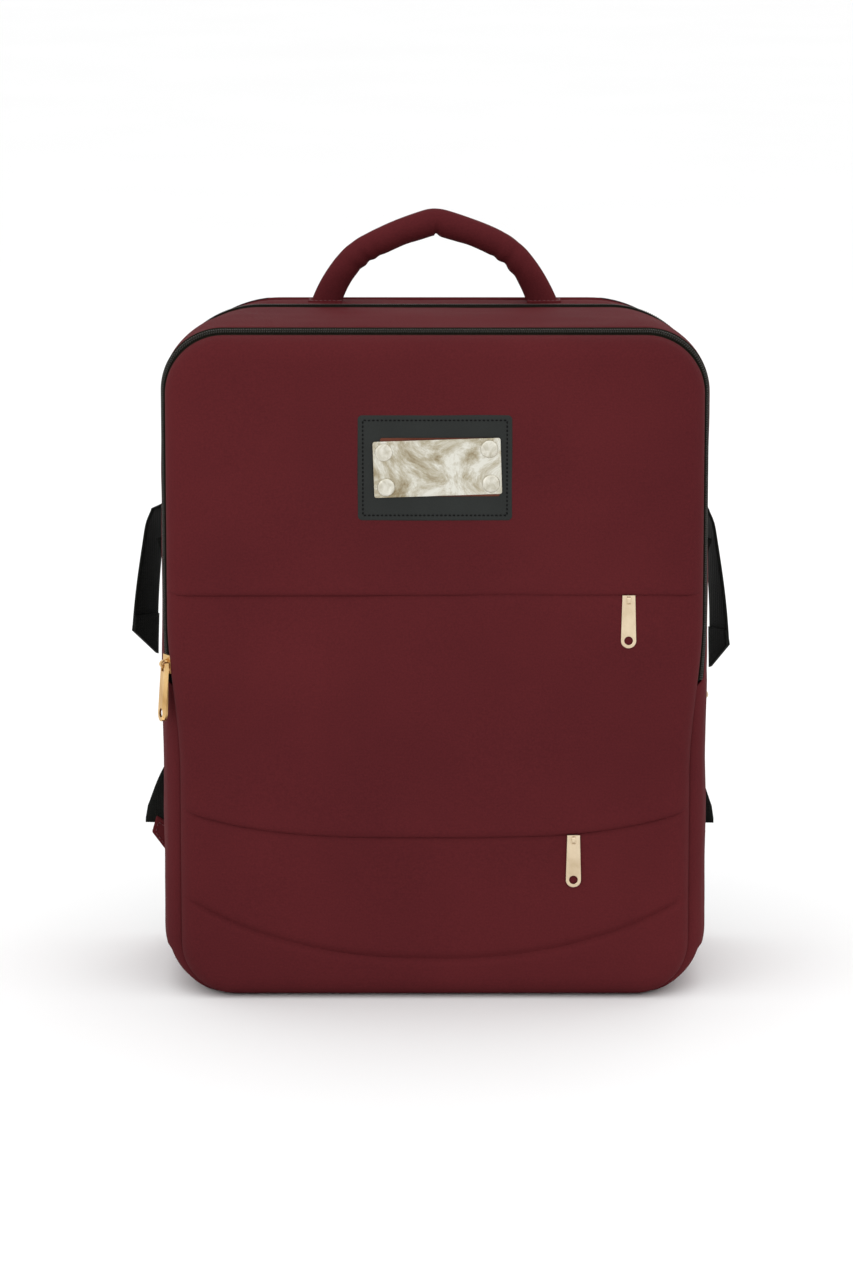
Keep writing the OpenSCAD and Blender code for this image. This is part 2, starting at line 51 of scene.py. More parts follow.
# ---------------------------------------------------------------- camera and studio
# A long lens looks at the front from a little above.  The bag stands on a wide pale
# floor, under four soft boxes and an even sky.
camera_distance = 3.2
camera_pitch = math.radians(11.2)
camera_aim = Vector((-0.005, -0.070, 0.218))
camera_data = bpy.data.cameras.new("camera")
camera_data.sensor_fit = "HORIZONTAL"
camera_data.sensor_width = 36.0
camera_data.lens = 226.5
camera_data.clip_end = 50.0
camera = bpy.data.objects.new("camera", camera_data)
scene.collection.objects.link(camera)
camera.location = camera_aim + camera_distance * Vector(
    (0, -math.cos(camera_pitch), math.sin(camera_pitch)))
camera.rotation_euler = (math.pi / 2 - camera_pitch, 0, 0)
scene.camera = camera
scene.view_settings.view_transform = "Standard"


def new_material(name):
    material = bpy.data.materials.new(name)
    material.use_nodes = True
    nodes, links = material.node_tree.nodes, material.node_tree.links
    return material, nodes, links, nodes["Principled BSDF"]


def two_tone(nodes, links, shader, height, dark, light, low=0.0, high=1.0):
    """The colour runs from dark to light with a texture's value."""
    ramp = nodes.new("ShaderNodeValToRGB")
    for element, place, colour in zip(ramp.color_ramp.elements, (low, high), (dark, light)):
        element.position = place
        element.color = (*colour, 1)
    links.new(height, ramp.inputs["Fac"])
    links.new(ramp.outputs["Color"], shader.inputs["Base Color"])
    return ramp


def speckled(name, scale, dark, light, roughness, texture="Noise", value="Fac"):
    """A plain stuff with a fine two-tone speck in it."""
    material, nodes, links, shader = new_material(name)
    coords = nodes.new("ShaderNodeTexCoord")
    speck = nodes.new("ShaderNodeTex" + texture)
    speck.inputs["Scale"].default_value = scale
    links.new(coords.outputs["Object"], speck.inputs["Vector"])
    two_tone(nodes, links, shader, speck.outputs[value], dark, light)
    shader.inputs["Roughness"].default_value = roughness
    return material, nodes, links, shader, speck


def relief(nodes, links, shader, height, strength, depth):
    """Bump from a texture's value, depth in metres."""
    bump = nodes.new("ShaderNodeBump")
    bump.inputs["Strength"].default_value = strength
    bump.inputs["Distance"].default_value = depth
    links.new(height, bump.inputs["Height"])
    links.new(bump.outputs["Normal"], shader.inputs["Normal"])


def studio_floor():
    """A wide pale floor, which reaches past the top of the view."""
    material = speckled("studio_floor", 3.0, (0.90, 0.90, 0.90), (0.93, 0.93, 0.93), 0.85)[0]
    bm = bmesh.new()
    bmesh.ops.create_grid(bm, x_segments=8, y_segments=8, size=24.0)
    mesh = bpy.data.meshes.new("floor")
    bm.to_mesh(mesh)
    bm.free()
    mesh.materials.append(material)
    floor = bpy.data.objects.new("floor", mesh)
    scene.collection.objects.link(floor)


def soft_box(name, place, aim, size, power):
    data = bpy.data.lights.new(name, "AREA")
    data.shape = "RECTANGLE"
    data.size, data.size_y = size
    data.energy = power
    lamp = bpy.data.objects.new(name, data)
    lamp.location = place
    lamp.rotation_euler = (Vector(aim) - Vector(place)).to_track_quat("-Z", "Y").to_euler()
    scene.collection.objects.link(lamp)


studio_floor()
soft_box("overhead_box", (0.0, -0.5, 2.3), (0, 0, 0.1), (2.2, 2.0), 8)
soft_box("front_left_box", (-1.7, -2.4, 1.5), (0, 0, 0.2), (1.4, 1.4), 7)
soft_box("front_right_box", (1.9, -2.2, 1.2), (0, 0, 0.2), (1.4, 1.4), 4)
soft_box("rear_box", (0.4, 2.2, 1.7), (0, 0, 0.25), (1.6, 1.2), 6)
world = bpy.data.worlds.new("sky")
world.use_nodes = True
world.node_tree.nodes["Background"].inputs["Color"].default_value = (1, 1, 1, 1)
world.node_tree.nodes["Background"].inputs["Strength"].default_value = 1.08
scene.world = world

# ---------------------------------------------------------------- front panels
# The front is cut from coated burgundy twill: a flap panel with a folded lip, one middle
# panel under it with a curved lip, a lower pocket panel and a bottom band.  Every panel
# wraps round the rim and is sewn to the main zip, or to the gusset below the zip's end.
MM = 0.001
FRONT_SKIN, ZIP_FRONT, ZIP_REAR = -81.0, -66.0, -58.0        # mm along Y
UPPER_LIP, LOWER_LIP, BOTTOM_SEAM = 248.0, 100.5, 25.0       # mm along Z
# half width, lowest, highest, top radius, bottom radius at each sewn edge of the shell
OUTLINES = {
    "zip_front": (158.5, 1.5, 399.5, 34.0, 31.0),
    "zip_rear": (162.5, 0.0, 404.0, 37.0, 35.0),
    "rear_zip": (164.0, 0.0, 403.0, 58.0, 36.0),
    "back": (161.0, 2.0, 403.0, 66.0, 36.0),
}


def smooth(t):
    t = min(1.0, max(0.0, t))
    return t * t * (3 - 2 * t)


def waist(z):
    """How far the front seams draw in below the zip's end, in mm."""
    return 7.0 * smooth((232.0 - z) / 95.0)


def half_width(edge, z):
    half, low, high, r_top, r_low = OUTLINES[edge]
    if z > high - r_top:
        rise = min(r_top, z - (high - r_top))
        half -= r_top - math.sqrt(max(0.0, r_top ** 2 - rise ** 2))
    elif z < low + r_low:
        drop = min(r_low, low + r_low - z)
        half -= r_low - math.sqrt(max(0.0, r_low ** 2 - drop ** 2))
    return half


def seam_half(z):
    return half_width("zip_front", z) - waist(z)


def edge_distance(x, z):
    """Distance in mm from the front seam, inwards."""
    half, low, high, r_top, r_low = OUTLINES["zip_front"]
    half -= waist(z)
    middle, reach = (low + high) / 2, (high - low) / 2
    r = r_top if z > middle else r_low
    qx, qz = abs(x) - (half - r), abs(z - middle) - (reach - r)
    outside = math.hypot(max(qx, 0.0), max(qz, 0.0)) + min(max(qx, qz), 0.0)
    return max(0.0, r - outside)


def front_depth(x, z, seed):
    """Y of the front skin in mm: a rounded rim, then a nearly flat face with soft dents."""
    d = edge_distance(x, z)
    t = min(1.0, d / 13.0)
    rim = 15.0 * math.sqrt(max(0.0, 1 - (1 - t) ** 2.2))
    p = Vector((x / 85.0, z / 70.0, seed))
    soft = noise.noise(p) * 0.9 + noise.noise(p * 2.7) * 0.28
    return ZIP_FRONT - rim - soft * smooth(d / 30.0)


def grid_piece(name, columns, rows, place, thickness, flip=False):
    """A sewn sheet: a grid laid by place(u, v), with u and v from -1 to 1, then given its cloth."""
    bm = bmesh.new()
    bmesh.ops.create_grid(bm, x_segments=columns, y_segments=rows, size=1.0)
    for vert in bm.verts:
        vert.co = Vector(place(vert.co.x, vert.co.y)) * MM
    if flip:
        bmesh.ops.reverse_faces(bm, faces=bm.faces)
    return finish_piece(name, bm, thickness)


def finish_piece(name, bm, thickness=0.0, smooth_shade=True):
    mesh = bpy.data.meshes.new(name)
    bm.to_mesh(mesh)
    bm.free()
    for face in mesh.polygons:
        face.use_smooth = smooth_shade
    piece = bpy.data.objects.new(name, mesh)
    scene.collection.objects.link(piece)
    if thickness:
        wall = piece.modifiers.new("cloth_thickness", "SOLIDIFY")
        wall.thickness = thickness * MM
        wall.offset = -1.0
    return piece


def wear(piece, material):
    piece.data.materials.clear()
    piece.data.materials.append(material)


def dense_ends(t):
    """Moves even steps of -1..1 closer together near both ends."""
    return t * (1.42 - 0.42 * t * t)


def weave_bump(nodes, links, shader, coords, pitch, strength):
    """Two crossing thread directions, pitch in metres, as relief."""
    threads = []
    for turn in ((0.8, 0.0, 0.8), (0, 0, 0)):
        wave = nodes.new("ShaderNodeTexWave")
        wave.wave_type = "BANDS"
        wave.bands_direction = "Z" if not threads else "X"
        wave.inputs["Scale"].default_value = 0.314 / pitch
        wave.inputs["Distortion"].default_value = 0.6
        wave.inputs["Detail"].default_value = 1.0
        mapping = nodes.new("ShaderNodeMapping")
        mapping.inputs["Rotation"].default_value = turn
        links.new(coords.outputs["Object"], mapping.inputs["Vector"])
        links.new(mapping.outputs["Vector"], wave.inputs["Vector"])
        threads.append(wave)
    both = nodes.new("ShaderNodeMath")
    both.operation = "MULTIPLY"
    links.new(threads[0].outputs["Fac"], both.inputs[0])
    links.new(threads[1].outputs["Fac"], both.inputs[1])
    relief(nodes, links, shader, both.outputs["Value"], strength, 0.0003)


def cloth_material(name, dark, light, roughness, sheen, pitch, relief):
    """Woven cloth: uneven dye, a finer mottling of the yarn, relief and a soft sheen."""
    material, nodes, links, shader = new_material(name)
    coords = nodes.new("ShaderNodeTexCoord")
    dye = nodes.new("ShaderNodeTexNoise")
    dye.inputs["Scale"].default_value = 9.0
    dye.inputs["Detail"].default_value = 3.0
    yarn = nodes.new("ShaderNodeTexNoise")
    yarn.inputs["Scale"].default_value = 900.0
    yarn.inputs["Detail"].default_value = 2.0
    links.new(coords.outputs["Object"], dye.inputs["Vector"])
    links.new(coords.outputs["Object"], yarn.inputs["Vector"])
    mix = nodes.new("ShaderNodeMix")
    mix.inputs["Factor"].default_value = 0.45
    links.new(dye.outputs["Fac"], mix.inputs["A"])
    links.new(yarn.outputs["Fac"], mix.inputs["B"])
    two_tone(nodes, links, shader, mix.outputs["Result"], dark, light, 0.32, 0.68)
    rough = nodes.new("ShaderNodeMapRange")
    rough.inputs["To Min"].default_value = roughness - 0.06
    rough.inputs["To Max"].default_value = roughness + 0.06
    links.new(yarn.outputs["Fac"], rough.inputs["Value"])
    links.new(rough.outputs["Result"], shader.inputs["Roughness"])
    shader.inputs["Sheen Weight"].default_value = sheen
    shader.inputs["Sheen Roughness"].default_value = 0.45
    shader.inputs["Specular IOR Level"].default_value = 0.015
    shader.inputs["Sheen Tint"].default_value = (*light, 1)
    weave_bump(nodes, links, shader, coords, pitch, relief)
    return material


shell_twill = cloth_material("shell_twill", (0.072, 0.0118, 0.0144), (0.101, 0.0160, 0.0186),
                             0.70, 0.05, 0.0007, 0.35)


def lower_lip_z(x):
    return LOWER_LIP + 16.0 * (abs(x) / 150.0) ** 3.2


def bottom_seam_z(x):
    return BOTTOM_SEAM + 37.0 * (abs(x) / 149.0) ** 2.4


def front_piece(name, low, high, seed, rows, low_edge, high_edge):
    """A panel between two heights given as functions of x.  Its edges are "rim" (sewn at the
    outline), "lip" (folded under), "tuck" (goes up behind a lip) or "seam" (sewn down)."""
    hem = 1.5                                        # radius of a folded lip

    def place(u, v):
        u = dense_ends(u)
        t = (dense_ends(v) + 1) / 2
        x = u * seam_half((low(0) + high(0)) / 2)
        for _ in range(3):                           # the seams follow x, and x follows the height
            z = low(x) + (high(x) - low(x)) * t
            x = u * seam_half(z)
        depth = front_depth(x, z, seed)
        to_low, to_high = z - low(x), high(x) - z
        inside = smooth(edge_distance(x, z) / 9.0)
        if low_edge == "lip":
            depth -= 0.9 * math.exp(-(to_low / 9.0) ** 2) * inside
            if to_low < 2 * hem:                     # the fold turns under
                turn = math.pi * (1 - to_low / (2 * hem))
                z = low(x) + hem * (1 - math.sin(turn))
                depth += hem * (1 - math.cos(turn)) * inside
        if high_edge == "tuck":
            depth += 2.6 * smooth((9.0 - to_high) / 7.0) * inside
        if high_edge == "seam":
            depth += 1.9 * math.exp(-(to_high / 2.6) ** 2) * inside
        if low_edge == "seam":
            depth += 1.9 * math.exp(-(to_low / 2.6) ** 2) * inside
        return x, depth, z

    piece = grid_piece(name, 110, rows, place, 1.3, flip=True)
    wear(piece, shell_twill)
    return piece


rim_low = OUTLINES["zip_front"][1]
rim_high = OUTLINES["zip_front"][2]
upper_front = front_piece("upper_front", lambda x: UPPER_LIP, lambda x: rim_high,
                          3.1, 80, "lip", "rim")
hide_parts("flap_panel", "upper_front_panel")
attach(upper_front, "front_flap")
middle_front = front_piece("middle_front", lower_lip_z, lambda x: UPPER_LIP + 5.0,
                           7.7, 84, "lip", "tuck")
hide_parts("upper_pocket_panel", "mid_pocket_panel")
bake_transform(middle_front)
pocket_front = front_piece("pocket_front", bottom_seam_z, lambda x: lower_lip_z(x) + 5.0,
                           11.3, 50, "seam", "tuck")
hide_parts("lower_pocket_panel", "lower_front_panel")
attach(pocket_front, "bag")
bottom_front = front_piece("bottom_front", lambda x: rim_low, bottom_seam_z,
                           15.9, 40, "rim", "seam")
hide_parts("bottom_front_panel")
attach(bottom_front, "bag")

# ---------------------------------------------------------------- gussets and base
# The main gusset is one long strip of the same twill, sewn round the sides and top between
# the two zips.  A narrower strip behind the rear zip closes the laptop compartment.
def ring_point(front, rear, share, s):
    """A point of the outline between two sewn edges.  s runs from 0, the bottom left end of
    the strip, over the top, to 1.  Gives the place in mm and the outward direction."""
    a, b = OUTLINES[front], OUTLINES[rear]
    half, low, high, r_top, r_low = (p + (q - p) * share for p, q in zip(a, b))
    flat = half - r_low - 122.0
    legs = [flat, r_low * math.pi / 2, high - low - r_top - r_low, r_top * math.pi / 2,
            half - r_top]
    whole = sum(legs)
    left = s <= 0.5
    run = (s if left else 1 - s) * 2 * whole
    side = -1 if left else 1
    for leg, length in enumerate(legs):
        if run <= length or leg == 4:
            break
        run -= length
    if leg == 0:
        x, z, nx, nz = 122.0 + run, low, 0.0, -1.0
    elif leg == 1:
        a = run / r_low
        nx, nz = math.sin(a), -math.cos(a)
        x, z = half - r_low + r_low * nx, low + r_low + r_low * nz
    elif leg == 2:
        x, z, nx, nz = half, low + r_low + run, 1.0, 0.0
    elif leg == 3:
        a = run / r_top
        nx, nz = math.cos(a), math.sin(a)
        x, z = half - r_top + r_top * nx, high - r_top + r_top * nz
    else:
        x, z, nx, nz = half - r_top - run, high, 0.0, 1.0
    return side * x, z, side * nx, nz


def gusset_place(s, t, y_low, y_high, front, rear, bulge, seed):
    """t runs from 0 at the front edge to 1 at the rear edge."""
    x, z, nx, nz = ring_point(front, rear, t, s)
    y = y_low + (y_high - y_low) * t
    if front == "zip_rear":
        # below the zip's end the strip reaches forward to the front seam and draws in with it
        reach = (ZIP_FRONT - ZIP_REAR) * smooth((193.0 - z) / 5.0)
        # and backward under the end of the rear zip
        back = 6.0 * smooth((151.0 - z) / 3.0)
        y = (y_low + reach) + (y_high + back - y_low - reach) * t
        ahead = min(1.0, max(0.0, (y - ZIP_FRONT) / 34.0))
        x -= math.copysign(waist(z) * (1 - math.sqrt(1 - (1 - ahead) ** 2)), x) * abs(nx)
        if z < 190.0 and t < 0.08:
            x -= math.copysign(4.0 * (1 - t / 0.08) * smooth((193.0 - z) / 5.0) * 0.6, x) * abs(nx)
    p = Vector((x / 60.0, y / 45.0, z / 60.0 + seed))
    soft = noise.noise(p) * 1.2 + noise.noise(p * 2.3) * 0.4
    push = (bulge * math.sin(math.pi * t) + soft * math.sin(math.pi * t) ** 0.5)
    if nz < -0.3:
        push = min(push, 0.0)                          # it stands flat on the floor
    edge = min(t, 1 - t) * (y_high - y_low)
    push -= 1.2 * math.exp(-(edge / 1.6) ** 2)         # the seams pull in at both edges
    return x + nx * push, y, max(0.2, z + nz * push)


def gusset(name, y_low, y_high, front, rear, bulge, seed, rows):
    return grid_piece(
        name, 420, rows,
        lambda u, v: gusset_place((u + 1) / 2, (dense_ends(v) + 1) / 2, y_low, y_high,
                                  front, rear, bulge, seed), 1.5)


main_gusset = gusset("main_side_gusset", ZIP_REAR, 42.0, "zip_rear", "rear_zip", 1.6, 1.0, 30)
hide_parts("main_gusset")
rear_gusset = gusset("rear_side_gusset", 48.0, 76.0, "rear_zip", "back", 0.9, 5.0, 14)
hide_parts("rear_gusset")
for strip in (main_gusset, rear_gusset):
    wear(strip, shell_twill)
    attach(strip, "bag")

# ---------------------------------------------------------------- main and rear zips
# A no. 5 coil zip: two woven tapes, each with a nylon coil sewn along it, dark olive brown.
# The main zip's front half is sewn to the flap and its rear half to the gusset.
def zip_material(name, colour, thread):
    return cloth_material(name, tuple(0.7 * c for c in colour), tuple(1.35 * c for c in colour),
                          0.75, 0.0, thread, 0.5)


zip_tape = zip_material("zip_tape", (0.0115, 0.0105, 0.0075), 0.0005)
coil_nylon, nodes, links, shader, speck = speckled(
    "zip_coil_nylon", 700.0, (0.009, 0.008, 0.006), (0.026, 0.023, 0.017), 0.42)
shader.inputs["Specular IOR Level"].default_value = 0.22


def strip_end(front, rear, height, left):
    """The s of a ring strip whose height is a given one, on one side of the bag."""
    low, high = (0.0, 0.5) if left else (1.0, 0.5)
    for _ in range(40):
        middle = (low + high) / 2
        if ring_point(front, rear, 0.5, middle)[1] < height:
            low = middle
        else:
            high = middle
    return low


def band_point(front, rear, y0, y1, s, t, lift):
    """A point on a zip's band: t from 0 at its front edge to 1 at its rear, lift outwards."""
    x, z, nx, nz = ring_point(front, rear, t, s)
    if front == "zip_front":
        x -= math.copysign(waist(z) * (1 - 0.35 * t), x) * abs(nx)
        tilt = Vector((nx, -0.45, nz)).normalized()
        return Vector((x, y0 + (y1 - y0) * t, z)) + tilt * lift
    return Vector((x + nx * lift, y0 + (y1 - y0) * t, z + nz * lift))


def tape_half(name, front, rear, y0, y1, s0, s1, t0, t1):
    """One tape: a strip with a raised bead where the coil is sewn on."""
    middle = 0.5

    def place(u, v):
        t = t0 + (t1 - t0) * (v + 1) / 2
        lift = 0.15 + 0.75 * math.exp(-(((t - middle) / 0.17) ** 2))
        return band_point(front, rear, y0, y1, s0 + (s1 - s0) * (u + 1) / 2, t, lift)

    tape = grid_piece(name, 260, 8, place, 1.2)
    wear(tape, zip_tape)
    return tape


def coil_half(name, front, rear, y0, y1, s0, s1, t0, turn):
    """Every turn of the coil shows as a short slanted bar across the band."""
    bm = bmesh.new()
    length = sum((band_point(front, rear, y0, y1, s0 + (s1 - s0) * k / 200, 0.5, 0)
                  - band_point(front, rear, y0, y1, s0 + (s1 - s0) * (k - 1) / 200, 0.5, 0)).length
                 for k in range(1, 201))
    count = int(length / 1.35)
    wide = 0.26 * (y1 - y0)
    for k in range(count):
        s = s0 + (s1 - s0) * (k + 0.25 + 0.5 * turn) / count
        here = band_point(front, rear, y0, y1, s, t0, 0.9)
        ahead = band_point(front, rear, y0, y1, s + 0.0004, t0, 0.9) - here
        out = (band_point(front, rear, y0, y1, s, t0, 1.9) - here).normalized()
        along = ahead.normalized()
        across = out.cross(along).normalized()
        turned = Matrix((along, across, out)).transposed().to_4x4()
        bar = (Matrix.Translation(here * MM) @ turned
               @ Matrix.Rotation(math.radians(14 if turn else -14), 4, "Z")
               @ Matrix.Diagonal((0.82 * MM, wide * MM, 1.0 * MM, 1.0)))
        bmesh.ops.create_icosphere(bm, subdivisions=1, radius=0.62, matrix=bar)
    coil = finish_piece(name, bm)
    wear(coil, coil_nylon)
    return coil


MAIN_BAND = ("zip_front", "zip_rear", ZIP_FRONT, ZIP_REAR)
left_start = strip_end("zip_front", "zip_rear", 208.0, True)
left_low = strip_end("zip_front", "zip_rear", 191.5, True)
right_start = strip_end("zip_front", "zip_rear", 192.0, False)
flap_tape = tape_half("flap_zip_tape_cloth", *MAIN_BAND, left_start, right_start, 0.0, 0.47)
body_tape = tape_half("body_zip_tape_cloth", *MAIN_BAND, left_low, right_start, 0.53, 1.0)
flap_coil = coil_half("flap_zip_coil", *MAIN_BAND, left_start, right_start, 0.40, 0)
body_coil = coil_half("body_zip_coil", *MAIN_BAND, left_low, right_start, 0.60, 1)
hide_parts("flap_zip_tape")
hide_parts("body_zip_tape")
for piece, body in ((flap_tape, "front_flap"), (flap_coil, "front_flap"),
                    (body_tape, "bag"), (body_coil, "bag")):
    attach(piece, body)

REAR_BAND = ("rear_zip", "rear_zip", 42.0, 48.0)
rear_left = strip_end("rear_zip", "rear_zip", 150.0, True)
rear_right = strip_end("rear_zip", "rear_zip", 150.0, False)
rear_front = tape_half("rear_zip_front_cloth", *REAR_BAND, rear_left, rear_right, 0.0, 0.47)
rear_back = tape_half("rear_zip_rear_cloth", *REAR_BAND, rear_left, rear_right, 0.53, 1.0)
rear_coil_front = coil_half("rear_coil_front", *REAR_BAND, rear_left, rear_right, 0.38, 0)
rear_coil_back = coil_half("rear_coil_back", *REAR_BAND, rear_left, rear_right, 0.62, 1)
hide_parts("rear_zip_front_tape")
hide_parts("rear_zip_rear_tape")
for piece in (rear_front, rear_back, rear_coil_front, rear_coil_back):
    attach(piece, "bag")


def pocket_zip(name, node, height, body, half):
    """A narrow zip laid face down behind a lip, so only a dark line of it shows."""
    def place(u, v):
        x = u * half
        return x, -78.9 - 0.5 * math.cos(v * math.pi), height(x) + 3.4 * v
    strip = grid_piece(name, 60, 6, place, 0.8, flip=True)
    wear(strip, zip_tape)
    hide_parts(node)
    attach(strip, body)


pocket_zip("upper_pocket_zip_cloth", "upper_pocket_zip", lambda x: UPPER_LIP, "front_flap", 143.0)
pocket_zip("lower_pocket_zip_cloth", "lower_pocket_zip", lower_lip_z, "bag", 140.0)

# ---------------------------------------------------------------- leather patch and plate
# A black leather patch is stitched to the flap.  On it lie a thin backing plate and a blank
# metal plate, held by four domed rivets.
def leather_material():
    material, nodes, links, shader = new_material("black_leather")
    coords = nodes.new("ShaderNodeTexCoord")
    grain = nodes.new("ShaderNodeTexVoronoi")
    grain.inputs["Scale"].default_value = 620.0
    cloud = nodes.new("ShaderNodeTexNoise")
    cloud.inputs["Scale"].default_value = 45.0
    links.new(coords.outputs["Object"], grain.inputs["Vector"])
    links.new(coords.outputs["Object"], cloud.inputs["Vector"])
    two_tone(nodes, links, shader, cloud.outputs["Fac"], (0.0125, 0.0140, 0.0130),
             (0.0210, 0.0235, 0.0220))
    rough = nodes.new("ShaderNodeMapRange")
    rough.inputs["To Min"].default_value = 0.38
    rough.inputs["To Max"].default_value = 0.58
    links.new(cloud.outputs["Fac"], rough.inputs["Value"])
    links.new(rough.outputs["Result"], shader.inputs["Roughness"])
    relief(nodes, links, shader, grain.outputs["Distance"], 0.35, 0.00035)
    shader.inputs["Specular IOR Level"].default_value = 0.16
    return material


def rounded_slab(bm, x0, x1, y0, y1, z0, z1, corner, edge):
    """A slab facing -Y with rounded corners and eased front and back edges, in mm."""
    size = Vector((x1 - x0, y1 - y0, z1 - z0))
    centre = Vector((x0 + x1, y0 + y1, z0 + z1)) / 2
    out = bmesh.ops.create_cube(bm, size=1.0, matrix=(
        Matrix.Translation(centre * MM) @ Matrix.Diagonal((*(size * MM), 1.0))))
    verts = out["verts"]
    faces = {f for v in verts for f in v.link_faces}
    upright = [e for f in faces for e in f.edges
               if abs(e.verts[0].co.y - e.verts[1].co.y) > 0.5 * size.y * MM]
    bmesh.ops.bevel(bm, geom=list(set(upright)), offset=corner * MM, affect="EDGES",
                    segments=6, profile=0.5, material=-1)
    flat = [e for e in bm.edges if e.calc_face_angle(0) > 1.2
            and abs(e.verts[0].co.y - e.verts[1].co.y) < 1e-7]
    bmesh.ops.bevel(bm, geom=flat, offset=edge * MM, affect="EDGES",
                    segments=3, profile=0.5, material=-1)


black_leather = leather_material()
PATCH_HALF_W, PATCH_HALF_H, PATCH_Z = 46.0, 31.8, 324.0
bm = bmesh.new()
rounded_slab(bm, -PATCH_HALF_W, PATCH_HALF_W, -82.8, -80.0,
             PATCH_Z - PATCH_HALF_H, PATCH_Z + PATCH_HALF_H, 3.0, 1.3)
patch = finish_piece("patch_leather", bm)
wear(patch, black_leather)
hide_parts("leather_patch")
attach(patch, "front_flap")

thread, nodes, links, shader, twist = speckled(
    "black_thread", 1500.0, (0.0020, 0.0022, 0.0022), (0.0075, 0.0080, 0.0080), 0.55)
shader.inputs["Specular IOR Level"].default_value = 0.08


def stitch_row(bm, path, outward, pitch, length, thick):
    """Short rounded stitches along a path of points in mm; outward gives the cloth's normal."""
    for a, b in zip(path, path[1:]):
        leg = b - a
        count = max(1, round(leg.length / pitch))
        along = leg.normalized()
        out = outward(a + leg / 2)
        across = out.cross(along).normalized()
        turned = Matrix((along, across, out)).transposed().to_4x4()
        for k in range(count):
            at = a + leg * ((k + 0.5) / count)
            bmesh.ops.create_icosphere(bm, subdivisions=1, radius=0.5, matrix=(
                Matrix.Translation(at * MM) @ turned
                @ Matrix.Diagonal((length * MM, thick * MM, 0.8 * thick * MM, 1.0))))


bm = bmesh.new()
inset = 3.4
corners = [Vector((x, -82.85, z)) for x, z in (
    (-PATCH_HALF_W + inset, PATCH_Z - PATCH_HALF_H + inset),
    (PATCH_HALF_W - inset, PATCH_Z - PATCH_HALF_H + inset),
    (PATCH_HALF_W - inset, PATCH_Z + PATCH_HALF_H - inset),
    (-PATCH_HALF_W + inset, PATCH_Z + PATCH_HALF_H - inset))]
stitch_row(bm, corners + corners[:1], lambda p: Vector((0, -1, 0)), 2.5, 1.9, 1.15)
patch_stitches = finish_piece("patch_stitches", bm)
wear(patch_stitches, thread)
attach(patch_stitches, "front_flap")


def worn_metal(name, tints, roughness, streak, bump_strength, mottle=26.0,
               grit=0.6, spread=0.18):
    """Cast or rolled metal: cloudy tarnish, fine scratches and uneven polish."""
    material, nodes, links, shader = new_material(name)
    coords = nodes.new("ShaderNodeTexCoord")
    cloud = nodes.new("ShaderNodeTexNoise")
    cloud.inputs["Scale"].default_value = mottle
    cloud.inputs["Detail"].default_value = 8.0
    cloud.inputs["Roughness"].default_value = grit
    cloud.inputs["Distortion"].default_value = 0.8
    scratch = nodes.new("ShaderNodeTexNoise")
    scratch.inputs["Scale"].default_value = 320.0
    scratch.inputs["Detail"].default_value = 3.0
    squeeze = nodes.new("ShaderNodeMapping")
    squeeze.inputs["Scale"].default_value = streak
    links.new(coords.outputs["Object"], cloud.inputs["Vector"])
    links.new(coords.outputs["Object"], squeeze.inputs["Vector"])
    links.new(squeeze.outputs["Vector"], scratch.inputs["Vector"])
    ramp = two_tone(nodes, links, shader, cloud.outputs["Fac"], tints[0], tints[-1],
                    0.48 - spread, 0.48 + spread)
    if len(tints) == 3:
        middle = ramp.color_ramp.elements.new(0.48)
        middle.color = (*tints[1], 1)
    rough = nodes.new("ShaderNodeMapRange")
    rough.inputs["To Min"].default_value = roughness[0]
    rough.inputs["To Max"].default_value = roughness[1]
    links.new(scratch.outputs["Fac"], rough.inputs["Value"])
    links.new(rough.outputs["Result"], shader.inputs["Roughness"])
    relief(nodes, links, shader, cloud.outputs["Fac"], bump_strength, 0.0004)
    shader.inputs["Metallic"].default_value = 1.0
    return material


plate_nickel = worn_metal("mottled_nickel", ((0.27, 0.215, 0.125), (0.46, 0.42, 0.32),
                                             (0.70, 0.69, 0.62)), (0.30, 0.55), (1, 1, 0.15),
                          0.6, 38.0, 0.76, 0.11)
rivet_nickel = worn_metal("rivet_nickel", ((0.46, 0.43, 0.34), (0.74, 0.72, 0.64)),
                          (0.28, 0.46), (1, 1, 0.2), 0.3, 160.0)
backing_brass = worn_metal("backing_brass", ((0.075, 0.020, 0.013), (0.150, 0.055, 0.036)),
                           (0.4, 0.6), (1, 1, 0.2), 0.3)
